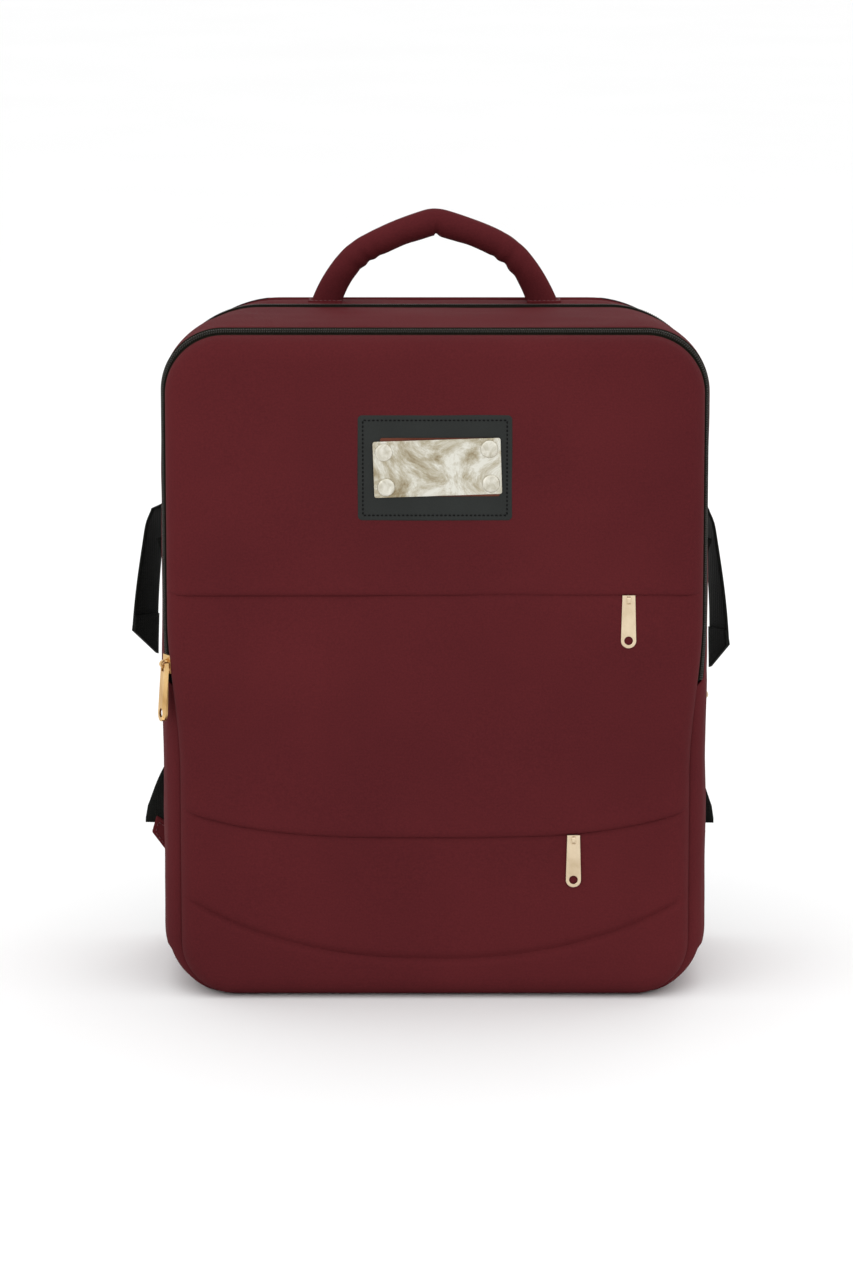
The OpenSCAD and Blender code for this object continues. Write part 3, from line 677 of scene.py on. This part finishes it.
# The plate was riveted on a little turned, so its backing shows above its left end.
PLATE_TURN = Matrix.Rotation(math.radians(-1.9), 4, "Y")
PLATE_CENTRE = Matrix.Translation(Vector((1.4, 0, PATCH_Z + 0.2)) * MM)
bm = bmesh.new()
rounded_slab(bm, -37.8, 37.8, -84.1, -83.3, -16.8, 16.8, 1.4, 0.3)
bmesh.ops.transform(bm, matrix=PLATE_CENTRE @ PLATE_TURN, verts=bm.verts)
plate = finish_piece("plate_blank", bm)
wear(plate, plate_nickel)
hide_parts("badge_plate")
bm = bmesh.new()
rounded_slab(bm, -32.5, 38.4, -83.25, -82.75, PATCH_Z - 16.9, PATCH_Z + 18.0, 1.4, 0.2)
backing = finish_piece("plate_backing", bm)
wear(backing, backing_brass)
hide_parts("badge_backing")
bm = bmesh.new()
for x, z in ((-31.4, 10.3), (31.0, 10.3), (-30.6, -10.6), (31.4, -10.4)):
    head = bmesh.ops.create_uvsphere(bm, u_segments=32, v_segments=16, radius=5.3 * MM)["verts"]
    for vert in head:                                # a low dome on a short upright rim
        flat = max(-0.2, -vert.co.y / (5.3 * MM))
        vert.co = Vector((vert.co.x, 0, vert.co.z)) + Vector((0, -1.5 * flat ** 0.55 if flat > 0
                                                              else 0.3, 0)) * MM
    bmesh.ops.translate(bm, verts=head, vec=Vector((x, -84.05, z)) * MM)
bmesh.ops.transform(bm, matrix=PLATE_CENTRE @ PLATE_TURN, verts=bm.verts)
bmesh.ops.recalc_face_normals(bm, faces=bm.faces)
rivets = finish_piece("plate_rivets", bm)
wear(rivets, rivet_nickel)
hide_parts("badge_rivets")
for piece in (plate, backing, rivets):
    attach(piece, "front_flap")

# ---------------------------------------------------------------- sliders and pullers
# Die-cast sliders with a bail, and stamped pullers with a punched hole.  The main zip's set
# is gold, the pocket and rear sets are champagne.  Their edges are tumbled smooth.
satin_gold = worn_metal("satin_gold", ((0.46, 0.26, 0.09), (0.78, 0.53, 0.24)),
                        (0.20, 0.40), (1, 1, 0.1), 0.12)
satin_champagne = worn_metal("satin_champagne", ((0.52, 0.40, 0.25), (0.80, 0.67, 0.49)),
                             (0.24, 0.44), (1, 1, 0.1), 0.10)


def eased_copy(node, name, width, material, body, angle=0.6, seat=None):
    """The node's own shape with its edges eased by a small bevel; seat may settle it."""
    bm = bmesh.new()
    bm.from_mesh(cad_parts[node].data)
    bmesh.ops.remove_doubles(bm, verts=bm.verts, dist=1e-6)
    bmesh.ops.dissolve_limit(bm, angle_limit=0.01, verts=bm.verts, edges=bm.edges)
    sharp = [e for e in bm.edges if e.is_manifold and e.calc_face_angle(0) > angle]
    bmesh.ops.bevel(bm, geom=sharp, offset=width * MM, affect="EDGES", segments=2,
                    profile=0.5, material=-1, clamp_overlap=True)
    bmesh.ops.triangulate(bm, faces=bm.faces)
    if seat:
        seat(bm)
    piece = finish_piece(name, bm, smooth_shade=False)
    wear(piece, material)
    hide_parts(node)
    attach(piece, body)
    return piece


def on_the_band(bm):
    """The main slider is drawn in and forward by the pinched end of its zip."""
    for vert in bm.verts:
        crown = 1.2 if vert.co.x < -162.5 * MM else 0.0    # its outer face stands proud
        vert.co += Vector((2.5 - crown, -4.0, 0)) * MM


def hanging_puller(bm):
    """The main puller is a longer stamping than the pocket pullers, and leans outwards."""
    on_the_band(bm)
    top = max(v.co.z for v in bm.verts) - 3.0 * MM
    for vert in bm.verts:
        drop = top - vert.co.z
        if drop > 0:
            vert.co.z = top - 1.22 * drop
            vert.co.x -= 0.06 * drop


for which, metal, slot in (("main", satin_gold, "gold_metal"),
                           ("upper", satin_champagne, "champagne_metal"),
                           ("lower", satin_champagne, "champagne_metal"),
                           ("rear", satin_champagne, "champagne_metal")):
    eased_copy(which + "_slider", which + "_slider_cast", 0.25, metal, which + "_slider",
               seat=on_the_band if which == "main" else None)
    if which in ("main", "rear"):
        eased_copy(which + "_puller", which + "_puller_cast", 0.2, metal, which + "_puller",
                   seat=hanging_puller if which == "main" else None)


def pocket_tongue(name, node, x, pivot_z, body):
    """A stamped tongue that comes out from under the lip, with a rimmed hole at its foot."""
    low, top, y = pivot_z - 29.0, pivot_z + 3.1, -82.6
    bm = bmesh.new()
    foot = 4.6
    hole = Vector((x, y, low + foot))
    rim = []
    steps = 24
    for k in range(steps):
        a = math.pi + math.pi * k / (steps - 1)
        rim.append(bm.verts.new((hole + Vector((foot * math.cos(a), 0, foot * math.sin(a)))) * MM))
    for dx in (3.9, -3.9):
        rim.append(bm.verts.new(Vector((x + dx, y, top)) * MM))
    plate = bm.faces.new(rim)
    ring = []
    for k in range(28):
        a = 2 * math.pi * k / 28
        ring.append(bm.verts.new((hole + 2.5 * Vector((math.cos(a), 0, math.sin(a)))) * MM))
    hole_edges = [bm.edges.new((ring[k], ring[(k + 1) % 28])) for k in range(28)]
    outer_edges = list(plate.edges)
    bmesh.ops.delete(bm, geom=[plate], context="FACES_ONLY")
    bmesh.ops.triangle_fill(bm, edges=outer_edges + hole_edges, use_beauty=True,
                            use_dissolve=False, normal=(0, -1, 0))
    bmesh.ops.translate(bm, verts=bm.verts, vec=(0, -0.7 * MM, 0))
    front = list(bm.faces)
    out = bmesh.ops.extrude_face_region(bm, geom=front)
    moved = [v for v in out["geom"] if isinstance(v, bmesh.types.BMVert)]
    bmesh.ops.translate(bm, verts=moved, vec=(0, 1.4 * MM, 0))
    bmesh.ops.recalc_face_normals(bm, faces=bm.faces)
    bmesh.ops.dissolve_limit(bm, angle_limit=0.01, verts=bm.verts, edges=bm.edges)
    sharp = [e for e in bm.edges if e.is_manifold and e.calc_face_angle(0) > 1.2
             and abs(e.verts[0].co.y - e.verts[1].co.y) < 1e-7]
    bmesh.ops.bevel(bm, geom=sharp, offset=0.38 * MM, affect="EDGES", segments=2,
                    profile=0.5, material=-1)
    tongue = finish_piece(name, bm, smooth_shade=False)
    wear(tongue, satin_champagne)
    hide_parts(node)
    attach(tongue, body)


pocket_tongue("upper_puller_tongue", "upper_puller", 115.0, 244.5, "upper_puller")
pocket_tongue("lower_puller_tongue", "lower_puller", 83.0, 98.5, "lower_puller")

# ---------------------------------------------------------------- carry handle
# A padded tube of shell twill over a foam rod.  Its ends are pressed flat and sewn to tabs
# on the top of the bag, and the cloth creases where the hand bends it.
HANDLE_Y, HANDLE_REACH = 64.5, 67.0


def handle_centre(v):
    """The tube's middle line, v from -1 at the left foot to 1 at the right foot."""
    reach = 68.0 * abs(v)
    rise = 0.33 * (math.sqrt(reach ** 2 + 9.0) - 3.0) + 28.6 * (reach / 66.6) ** 4.9
    if v < 0:
        rise += 0.9 * math.exp(-(((reach - 34.0) / 14.0) ** 2))
    return Vector((math.copysign(reach, v), HANDLE_Y, 452.4 - rise))


def handle_skin(u, v, share=1.0):
    here = handle_centre(v)
    along = (handle_centre(v + 0.01) - handle_centre(v - 0.01)).normalized()
    out = Vector((0, 1, 0)).cross(along)
    if out.z < 0:
        out = -out
    a = math.pi * u
    foot = smooth((abs(v) - 0.80) / 0.2)
    across, high = 8.4 * (1 - 0.25 * foot), 8.2 * (1 + 0.08 * foot)
    # creases: small folds on the inside of each bend, deepest beside the middle
    crease = 0.0
    for at, depth, reach in ((0.02, 1.9, 0.035), (-0.56, 0.9, 0.04), (-0.66, 1.5, 0.035),
                             (-0.76, 0.8, 0.03), (0.58, 0.8, 0.03), (0.69, 1.9, 0.035),
                             (0.80, 0.7, 0.03), (-0.30, 0.4, 0.08), (0.33, 0.4, 0.08)):
        crease += depth * math.exp(-(((v - at + 0.012 * math.sin(a)) / reach) ** 2))
    p = here / 22.0 + Vector((math.cos(a), math.sin(a), 0)) * 0.5
    soft = noise.noise(p) * 0.55
    r = share * (1 - (crease * (0.45 - 0.35 * math.sin(a)) - soft) / 9.0)
    side = Vector((0, 1, 0)) * math.cos(a) * across * r
    spot = here + side + out * math.sin(a) * high * r
    spot.z = max(spot.z, 403.3 + 0.4 * (1 - share))
    return spot


def handle_tube(name, share, around, along):
    bm = bmesh.new()
    bmesh.ops.create_grid(bm, x_segments=around, y_segments=along, size=1.0)
    for vert in bm.verts:
        vert.co = handle_skin(vert.co.x, vert.co.y, share) * MM
    bmesh.ops.remove_doubles(bm, verts=bm.verts, dist=2e-6)
    ends = [e for e in bm.edges if e.is_boundary]
    bmesh.ops.holes_fill(bm, edges=ends, sides=0)
    bmesh.ops.recalc_face_normals(bm, faces=bm.faces)
    return finish_piece(name, bm)


handle = handle_tube("handle_cover", 1.0, 40, 190)
wear(handle, shell_twill)
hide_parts("carry_handle_cover")
core = handle_tube("handle_core", 0.55, 20, 90)
for piece in (handle, core):
    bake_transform(piece)

bm = bmesh.new()
for side in (-1, 1):
    bmesh.ops.create_cube(bm, size=1.0, matrix=(
        Matrix.Translation(Vector((side * HANDLE_REACH, HANDLE_Y, 403.9)) * MM)
        @ Matrix.Diagonal((21.0 * MM, 16 * MM, 1.6 * MM, 1.0))))
bmesh.ops.bevel(bm, geom=list(bm.edges), offset=0.6 * MM, affect="EDGES", segments=3,
                profile=0.5, material=-1)
tabs = finish_piece("handle_sewn_tabs", bm)
wear(tabs, shell_twill)
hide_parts("handle_end_tabs")
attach(tabs, "bag")

burgundy_thread = speckled("burgundy_thread", 1500.0, (0.07, 0.012, 0.016),
                           (0.15, 0.030, 0.036), 0.45)[0]
bm = bmesh.new()
for side in (-1, 1):
    x = side * HANDLE_REACH
    box = [Vector((x + dx, HANDLE_Y + dy, 404.75)) for dx, dy in (
        (-9.4, -6.9), (9.4, -6.9), (9.4, 6.9), (-9.4, 6.9), (-9.4, -6.9))]
    stitch_row(bm, box, lambda p: Vector((0, 0, 1)), 2.6, 2.1, 0.7)
tab_stitches = finish_piece("handle_tab_stitches", bm)
wear(tab_stitches, burgundy_thread)
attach(tab_stitches, "bag")
foam = speckled("foam_rod", 900.0, (0.02, 0.02, 0.02), (0.06, 0.06, 0.06), 0.85,
                "Voronoi", "Distance")[0]
wear(core, foam)
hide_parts("carry_handle_core")

# ---------------------------------------------------------------- linings and boards
# Grey polyester linings, a padded divider, the laptop sleeve, a board under the base and a
# thin frame sheet behind the back: they show when the flap is open.
grey_lining = cloth_material("grey_lining", (0.028, 0.028, 0.031), (0.048, 0.048, 0.052),
                             0.5, 0.04, 0.0006, 0.3)
board, nodes, links, shader, fibre = speckled(
    "pressed_board", 260.0, (0.012, 0.012, 0.012), (0.032, 0.031, 0.030), 0.62)
fibre.inputs["Detail"].default_value = 4.0
for node, material in (("main_lining", grey_lining), ("flap_lining", grey_lining),
                       ("divider", grey_lining), ("lower_pocket_lining", grey_lining),
                       ("upper_pocket_lining", grey_lining), ("laptop_sleeve", grey_lining),
                       ("base_stiffener", board), ("back_frame_sheet", board)):
    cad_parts[node].data.materials.clear()
    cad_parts[node].data.materials.append(material)

# ---------------------------------------------------------------- base and back panel
# A dark woven panel closes the bottom, and a thicker one of the same cloth is the back.  The
# seam where the back meets the gusset is bound with a narrow tape of the shell twill.
back_weave = cloth_material("back_weave", (0.020, 0.009, 0.011), (0.040, 0.017, 0.020),
                            0.66, 0.05, 0.0009, 0.5)
bm = bmesh.new()
rounded_slab(bm, -122.5, 122.5, -65.0, 77.0, 0.0, 3.0, 1.2, 0.6)
base = finish_piece("base_cloth", bm)
wear(base, back_weave)
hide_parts("base_panel")
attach(base, "bag")


def back_place(u, v):
    """The back panel: flat where it is sewn, faintly crowned between, v upwards."""
    u, v = dense_ends(u), dense_ends(v)
    z = 202.5 + 200.0 * v
    x = u * half_width("back", z)
    half, low, high, r_top, r_low = OUTLINES["back"]
    middle, reach = (low + high) / 2, (high - low) / 2
    r = r_top if z > middle else r_low
    qx, qz = abs(x) - (half - r), abs(z - middle) - (reach - r)
    d = max(0.0, r - math.hypot(max(qx, 0.0), max(qz, 0.0)) - min(max(qx, qz), 0.0))
    rim = 5.0 * math.sqrt(max(0.0, 1 - (1 - min(1.0, d / 6.0)) ** 2))
    soft = noise.noise(Vector((x / 70.0, z / 70.0, 21.0))) * 0.5 * smooth(d / 20.0)
    return x, 75.8 + rim + soft, z


back = grid_piece("back_cloth", 110, 130, back_place, 1.6)
wear(back, back_weave)
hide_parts("back_panel")
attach(back, "bag")


def ring_tube(name, front, rear, share, y, out, radius, s0=0.0, s1=1.0, steps=260, sides=8):
    """A round binding that follows an outline of the shell."""
    bm = bmesh.new()
    bmesh.ops.create_grid(bm, x_segments=sides, y_segments=steps, size=1.0)
    for vert in bm.verts:
        s = s0 + (s1 - s0) * (vert.co.y + 1) / 2
        a = math.pi * vert.co.x
        x, z, nx, nz = ring_point(front, rear, share, s)
        lift = out + radius * math.cos(a)
        vert.co = Vector((x + nx * lift, y + radius * math.sin(a), z + nz * lift)) * MM
    bmesh.ops.remove_doubles(bm, verts=bm.verts, dist=1e-6)
    bmesh.ops.holes_fill(bm, edges=[e for e in bm.edges if e.is_boundary], sides=0)
    bmesh.ops.recalc_face_normals(bm, faces=bm.faces)
    return finish_piece(name, bm)


back_binding = ring_tube("back_binding", "back", "back", 0.5, 77.0, -0.4, 1.7)
wear(back_binding, shell_twill)
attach(back_binding, "bag")

# ---------------------------------------------------------------- back pads
# Black spacer mesh over foam: two upright pads and a lumbar pad, sewn to the back panel
# round their edges, each with stitched channels across.
def mesh_material():
    material, nodes, links, shader = new_material("spacer_mesh")
    coords = nodes.new("ShaderNodeTexCoord")
    cells = nodes.new("ShaderNodeTexVoronoi")
    cells.inputs["Scale"].default_value = 340.0
    cells.inputs["Randomness"].default_value = 0.15
    links.new(coords.outputs["Object"], cells.inputs["Vector"])
    two_tone(nodes, links, shader, cells.outputs["Distance"], (0.003, 0.003, 0.003),
             (0.022, 0.022, 0.023), 0.15, 0.45)
    relief(nodes, links, shader, cells.outputs["Distance"], 0.7, 0.0008)
    shader.inputs["Roughness"].default_value = 0.7
    shader.inputs["Sheen Weight"].default_value = 0.08
    return material


spacer_mesh = mesh_material()


def swell(piece, pressure, cap, stays, voxel=0.0045):
    """Blows a closed pad up like foam under cloth, then smooths it; stays(co) pins points."""
    remesh = piece.modifiers.new("remesh", "REMESH")
    remesh.mode = "VOXEL"
    remesh.voxel_size = voxel
    deps = bpy.context.evaluated_depsgraph_get()
    body = bpy.data.meshes.new_from_object(piece.evaluated_get(deps))
    piece.modifiers.clear()
    piece.data = body
    rest = [v.co.copy() for v in body.vertices]
    pin = piece.vertex_groups.new(name="sewn")
    pin.add([v.index for v in body.vertices if stays(v.co / MM)], 1.0, "REPLACE")
    cloth = piece.modifiers.new("cloth", "CLOTH")
    cloth.settings.vertex_group_mass = "sewn"
    cloth.settings.use_pressure = True
    cloth.settings.uniform_pressure_force = pressure
    cloth.settings.effector_weights.gravity = 0.0
    cloth.settings.tension_stiffness = 25
    cloth.settings.quality = 6
    cloth.point_cache.frame_start = 1
    cloth.point_cache.frame_end = 20
    for frame_number in range(1, 21):
        scene.frame_set(frame_number)
    deps = bpy.context.evaluated_depsgraph_get()
    blown = bpy.data.meshes.new_from_object(piece.evaluated_get(deps))
    piece.modifiers.clear()
    scene.frame_set(1)
    for vert, start in zip(blown.vertices, rest):
        move = vert.co - start
        if move.length > cap * MM:
            vert.co = start + move.normalized() * cap * MM
    piece.data = blown
    for face in blown.polygons:
        face.use_smooth = True


def pad_body(name, x0, x1, z0, z1, corner, y0, y1):
    """The slack shape of a pad before it is filled: a rounded slab with soft shoulders."""
    bm = bmesh.new()
    cx, cz, hx, hz = (x0 + x1) / 2, (z0 + z1) / 2, (x1 - x0) / 2, (z1 - z0) / 2
    bmesh.ops.create_grid(bm, x_segments=56, y_segments=int(56 * max(1.0, hz / hx)), size=1.0)
    for vert in bm.verts:
        u, v = dense_ends(vert.co.x), dense_ends(vert.co.y)
        z = v * hz
        r = min(corner, hx, hz)
        over = max(0.0, abs(z) - (hz - r))
        half = hx - r + math.sqrt(max(0.0, r * r - over * over))
        x = u * half
        qx, qz = abs(x) - (hx - r), abs(z) - (hz - r)
        d = max(0.0, r - math.hypot(max(qx, 0.0), max(qz, 0.0)) - min(max(qx, qz), 0.0))
        rise = math.sqrt(max(0.0, 1 - (1 - min(1.0, d / 11.0)) ** 2))
        vert.co = Vector((cx + x, y0 + (y1 - y0) * rise, cz + z)) * MM
    out = bmesh.ops.extrude_face_region(bm, geom=list(bm.faces))
    flat = [v for v in out["geom"] if isinstance(v, bmesh.types.BMVert)]
    for vert in flat:
        vert.co.y = (y0 - 1.0) * MM
    bmesh.ops.recalc_face_normals(bm, faces=bm.faces)
    return finish_piece(name, bm)


def sew_channels(piece, lines, depth, reach, across="z"):
    """Presses sewn channels into a pad's outer face along straight lines."""
    for vert in piece.data.vertices:
        co = vert.co / MM
        if co.y < 82.5:
            continue
        along = co.z if across == "z" else co.x
        press = max(math.exp(-(((along - line) / reach) ** 2)) for line in lines)
        vert.co.y -= min(depth * press, max(0.0, co.y - 82.2)) * MM


def back_pad(name, node, x0, x1, z0, z1, corner, lines, across):
    pad = pad_body(name, x0, x1, z0, z1, corner, 81.3, 88.2)
    swell(pad, 3.0, 3.0, lambda co: co.y < 82.4)
    sew_channels(pad, lines, 4.5, 2.6, across)
    rounder = pad.modifiers.new("rounded", "SUBSURF")
    rounder.levels = rounder.render_levels = 1
    wear(pad, spacer_mesh)
    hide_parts(node)
    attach(pad, "bag")


back_pad("left_pad", "left_back_pad", -109.0, -15.0, 129.0, 327.0, 26.0, (178.0, 228.0, 278.0), "z")
back_pad("right_pad", "right_back_pad", 15.0, 109.0, 129.0, 327.0, 26.0, (178.0, 228.0, 278.0), "z")
back_pad("lumbar_cushion", "lumbar_pad", -109.0, 109.0, 35.0, 107.0, 24.0, (-55.0, 0.0, 55.0), "x")

# ---------------------------------------------------------------- shoulder straps
# Both straps leave a sewn yoke on the upper back.  Each is a padded band of the dark back
# cloth with a black webbing sewn along its outer face, and ends in a moulded ladder lock.
def pad_point(t):
    return Vector((-(50.0 + 92.0 * t ** 1.15),
                   95.0 + 26.0 * math.sin(math.pi * t ** 0.7) * (1 - 0.3 * t) + 10.0 * t,
                   375.0 + (273.4 - 375.0) * t ** 1.35))


def pad_frame(t):
    """Middle, width direction and outward direction of the left strap at t from 0 to 1."""
    step = 0.004
    here = pad_point(t)
    along = (pad_point(min(1.0, t + step)) - pad_point(max(0.0, t - step))).normalized()
    a = math.radians(12.0 + 34.0 * t)
    wide = Vector((math.cos(a), 0, -math.sin(a)))
    wide = (wide - along * wide.dot(along)).normalized()
    out = wide.cross(along)
    if out.y < 0:
        out = -out
    return here, along, wide, out


def strap_shell(name, sign):
    """The strap's slack foam body: a flat oval section with rounded shoulders."""
    bm = bmesh.new()
    bmesh.ops.create_grid(bm, x_segments=44, y_segments=70, size=1.0)
    for vert in bm.verts:
        t = (vert.co.y + 1) / 2
        here, along, wide, out = pad_frame(t)
        a = math.pi * vert.co.x
        taper = 1 - 0.34 * smooth((t - 0.80) / 0.2)
        ends = 1 - 0.55 * smooth((0.05 - t) / 0.05) - 0.45 * smooth((t - 0.96) / 0.04)
        w = 27.2 * taper * math.copysign(abs(math.cos(a)) ** 0.5, math.cos(a))
        h = 5.2 * ends * math.copysign(abs(math.sin(a)) ** 0.75, math.sin(a))
        co = here + wide * w + out * h
        vert.co = Vector((sign * co.x, co.y, co.z)) * MM
    bmesh.ops.remove_doubles(bm, verts=bm.verts, dist=2e-6)
    bmesh.ops.holes_fill(bm, edges=[e for e in bm.edges if e.is_boundary], sides=0)
    bmesh.ops.triangulate(bm, faces=[f for f in bm.faces if len(f.verts) > 4])
    bmesh.ops.recalc_face_normals(bm, faces=bm.faces)
    return finish_piece(name, bm)


def strap_band(name, sign, across, half, lift, t0, t1, thick=1.2, steps=90):
    """A tape sewn along the strap's outer face, centred across mm from its middle."""
    def place(u, v):
        t = t0 + (t1 - t0) * (v + 1) / 2
        here, along, wide, out = pad_frame(t)
        taper = 1 - 0.34 * smooth((t - 0.80) / 0.2)
        co = here + wide * (across * taper + half * u) + out * lift
        return sign * co.x, co.y, co.z
    return grid_piece(name, 8, steps, place, thick, flip=sign < 0)


webbing_black = cloth_material("webbing_black", (0.006, 0.0065, 0.006), (0.019, 0.020, 0.018),
                               0.58, 0.05, 0.0011, 0.9)
for side, sign in (("left", 1), ("right", -1)):
    body = side + "_strap"
    pad = strap_shell(side + "_shoulder_cushion", sign)
    swell(pad, 3.0, 2.2, lambda co: co.z > 371.0 or co.z < 276.0)
    rounder = pad.modifiers.new("rounded", "SUBSURF")
    rounder.levels = rounder.render_levels = 1
    wear(pad, back_weave)
    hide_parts(side + "_shoulder_pad")
    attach(pad, body)
    carrier = strap_band(side + "_strap_webbing", sign, 0.0, 12.5, 7.6, 0.05, 0.985)
    wear(carrier, webbing_black)
    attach(carrier, body)
    bm = bmesh.new()
    for offset in (-10.8, 10.8):
        row = []
        for k in range(60):
            here, along, wide, out = pad_frame(0.06 + 0.9 * k / 59)
            co = here + wide * offset + out * 8.25
            row.append(Vector((sign * co.x, co.y, co.z)))
        stitch_row(bm, row, lambda p: Vector((0, 1, 0)), 2.8, 2.2, 0.7)
    rows = finish_piece(side + "_strap_stitches", bm)
    wear(rows, thread)
    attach(rows, body)

# ---------------------------------------------------------------- yoke
# A doubled patch of the back cloth, box-stitched to the back panel over the strap ends.
bm = bmesh.new()
rounded_slab(bm, -78.0, 78.0, 80.6, 84.0, 347.0, 387.0, 4.0, 1.0)
yoke = finish_piece("strap_yoke_cloth", bm)
wear(yoke, back_weave)
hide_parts("strap_yoke")
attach(yoke, "bag")
bm = bmesh.new()
for reach in (3.0, 6.0):
    frame_line = [Vector((x, 84.1, z)) for x, z in (
        (-78 + reach, 347 + reach), (78 - reach, 347 + reach),
        (78 - reach, 387 - reach), (-78 + reach, 387 - reach), (-78 + reach, 347 + reach))]
    stitch_row(bm, frame_line, lambda p: Vector((0, 1, 0)), 2.8, 2.2, 0.7)
yoke_stitches = finish_piece("yoke_stitches", bm)
wear(yoke_stitches, thread)
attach(yoke_stitches, "bag")

# ---------------------------------------------------------------- ladder locks
# Moulded acetal adjusters with two slots, eased all round, with a fine moulded texture.
acetal, nodes, links, shader, spark = speckled(
    "moulded_acetal", 1400.0, (0.008, 0.008, 0.008), (0.020, 0.020, 0.020), 0.43)
rough = nodes.new("ShaderNodeMapRange")
rough.inputs["To Min"].default_value = 0.34
rough.inputs["To Max"].default_value = 0.52
links.new(spark.outputs["Fac"], rough.inputs["Value"])
links.new(rough.outputs["Result"], shader.inputs["Roughness"])
relief(nodes, links, shader, spark.outputs["Fac"], 0.15, 0.0002)
for side in ("left", "right"):
    eased_copy(side + "_ladder_lock", side + "_lock_moulding", 0.9, acetal,
               side + "_strap")

# ---------------------------------------------------------------- webbing and tabs
# 25 mm black webbing runs from each tab at the foot of the bag up to its ladder lock.  The
# loose end comes back through the lock, folds over and hangs beside the bag.
def lower_path(t):
    start, end = Vector((-168.5, 70.4, 79.0)), Vector((-163.6, 105.0, 252.6))
    swing = math.sin(math.pi * max(0.0, t) ** 0.9)
    return start + (end - start) * t + Vector((15.5, 21.0, 0.0)) * swing


def tail_path(t):
    """From the fold at the lock, out and down; the cut end curls a little."""
    x = -176.5 + 2.5 * math.exp(-((t / 0.08) ** 2)) - 8.5 * t - 1.5 * math.sin(math.pi * t) * t
    return Vector((x, 107.0 + 3.0 * math.sin(2.6 * t), 269.5 - 88.0 * t))


def webbing(name, sign, path, turn, t0, t1, steps, half=12.5, thick=1.5, cut=0.0, inward=0.0):
    def place(u, v):
        t = t0 + (t1 - t0) * (v + 1) / 2
        step = 0.002
        here = path(t)
        along = (path(t + step) - path(t - step)).normalized()
        a = math.radians(turn(t))
        wide = Vector((math.cos(a), math.sin(a), 0))
        wide = (wide - along * wide.dot(along)).normalized()
        out = wide.cross(along)
        cup = 0.5 * (u * u) * math.sin(math.pi * min(1.0, max(0.0, t)))
        co = here + wide * (half * u) + out * cup + along * (cut * u * smooth((t - t1 + 0.16) / 0.16))
        return sign * (co.x + inward), co.y, co.z
    strip = grid_piece(name, 10, steps, place, thick, flip=sign > 0)
    strip.modifiers["cloth_thickness"].offset = 0.0
    return strip


def hem(name, sign, path, turn, t0, t1, cut, inward):
    """The folded and sewn end of a tail: a second layer on the outer face."""
    return webbing(name, sign, lambda t: path(t) + Vector((0.9, -1.35, 0)), turn, t0, t1, 14,
                   12.3, 1.4, cut, inward)


for side, sign, lean, drop, inward in (("left", 1, 68.0, 1.0, 2.5),
                                       ("right", -1, 80.0, 1.1, 5.5)):
    lower = webbing(side + "_lower_strap", sign,
                    lambda t: lower_path(t) + Vector((2.0 * (inward - 2.5) * (1 - t), 0, 0)),
                    lambda t: 75.0 - 40.0 * t - 63.0 * (1 - smooth(t / 0.24)), -0.03, 1.0, 60)
    wear(lower, webbing_black)
    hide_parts(side + "_lower_webbing")
    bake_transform(lower)
    tail = webbing(side + "_tail_webbing", sign, tail_path, lambda t: lean - 14.0 * t,
                   0.0, drop, 50, cut=8.0, inward=inward)
    wear(tail, webbing_black)
    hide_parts(side + "_webbing_tail")
    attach(tail, side + "_tail")
    fold = hem(side + "_tail_hem", sign, tail_path, lambda t: lean - 14.0 * t,
               drop - 0.2, drop, 8.0, inward)
    wear(fold, webbing_black)
    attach(fold, side + "_tail")
    bm = bmesh.new()
    nearer = 0.0 if side == "left" else 7.0
    points = [(-161.9, 48.0), (-161.9, 71.0), (nearer - 174.0, 79.0), (nearer - 177.0, 68.5)]
    verts = [bm.verts.new(Vector((sign * x, 65.4, z)) * MM) for x, z in points]
    face = bm.faces.new(verts)
    out = bmesh.ops.extrude_face_region(bm, geom=[face])
    bmesh.ops.translate(bm, verts=[v for v in out["geom"] if isinstance(v, bmesh.types.BMVert)],
                        vec=(0, 3.2 * MM, 0))
    bmesh.ops.recalc_face_normals(bm, faces=bm.faces)
    bmesh.ops.bevel(bm, geom=list(bm.edges), offset=1.1 * MM, affect="EDGES", segments=3,
                    profile=0.5, material=-1)
    bmesh.ops.triangulate(bm, faces=bm.faces)
    tab = finish_piece(side + "_tab_cloth", bm)
    wear(tab, shell_twill)
    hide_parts(side + "_strap_tab")
    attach(tab, "bag")
    bm = bmesh.new()
    line = [Vector((sign * x, 65.2, z)) for x, z in ((-164.5, 54.0), (nearer - 174.5, 68.5),
                                                     (nearer - 172.8, 75.0), (-164.5, 69.5),
                                                     (-164.5, 54.0))]
    stitch_row(bm, line, lambda p: Vector((0, -1, 0)), 2.8, 2.2, 0.7)
    tab_rows = finish_piece(side + "_tab_stitches", bm)
    wear(tab_rows, burgundy_thread)
    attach(tab_rows, "bag")
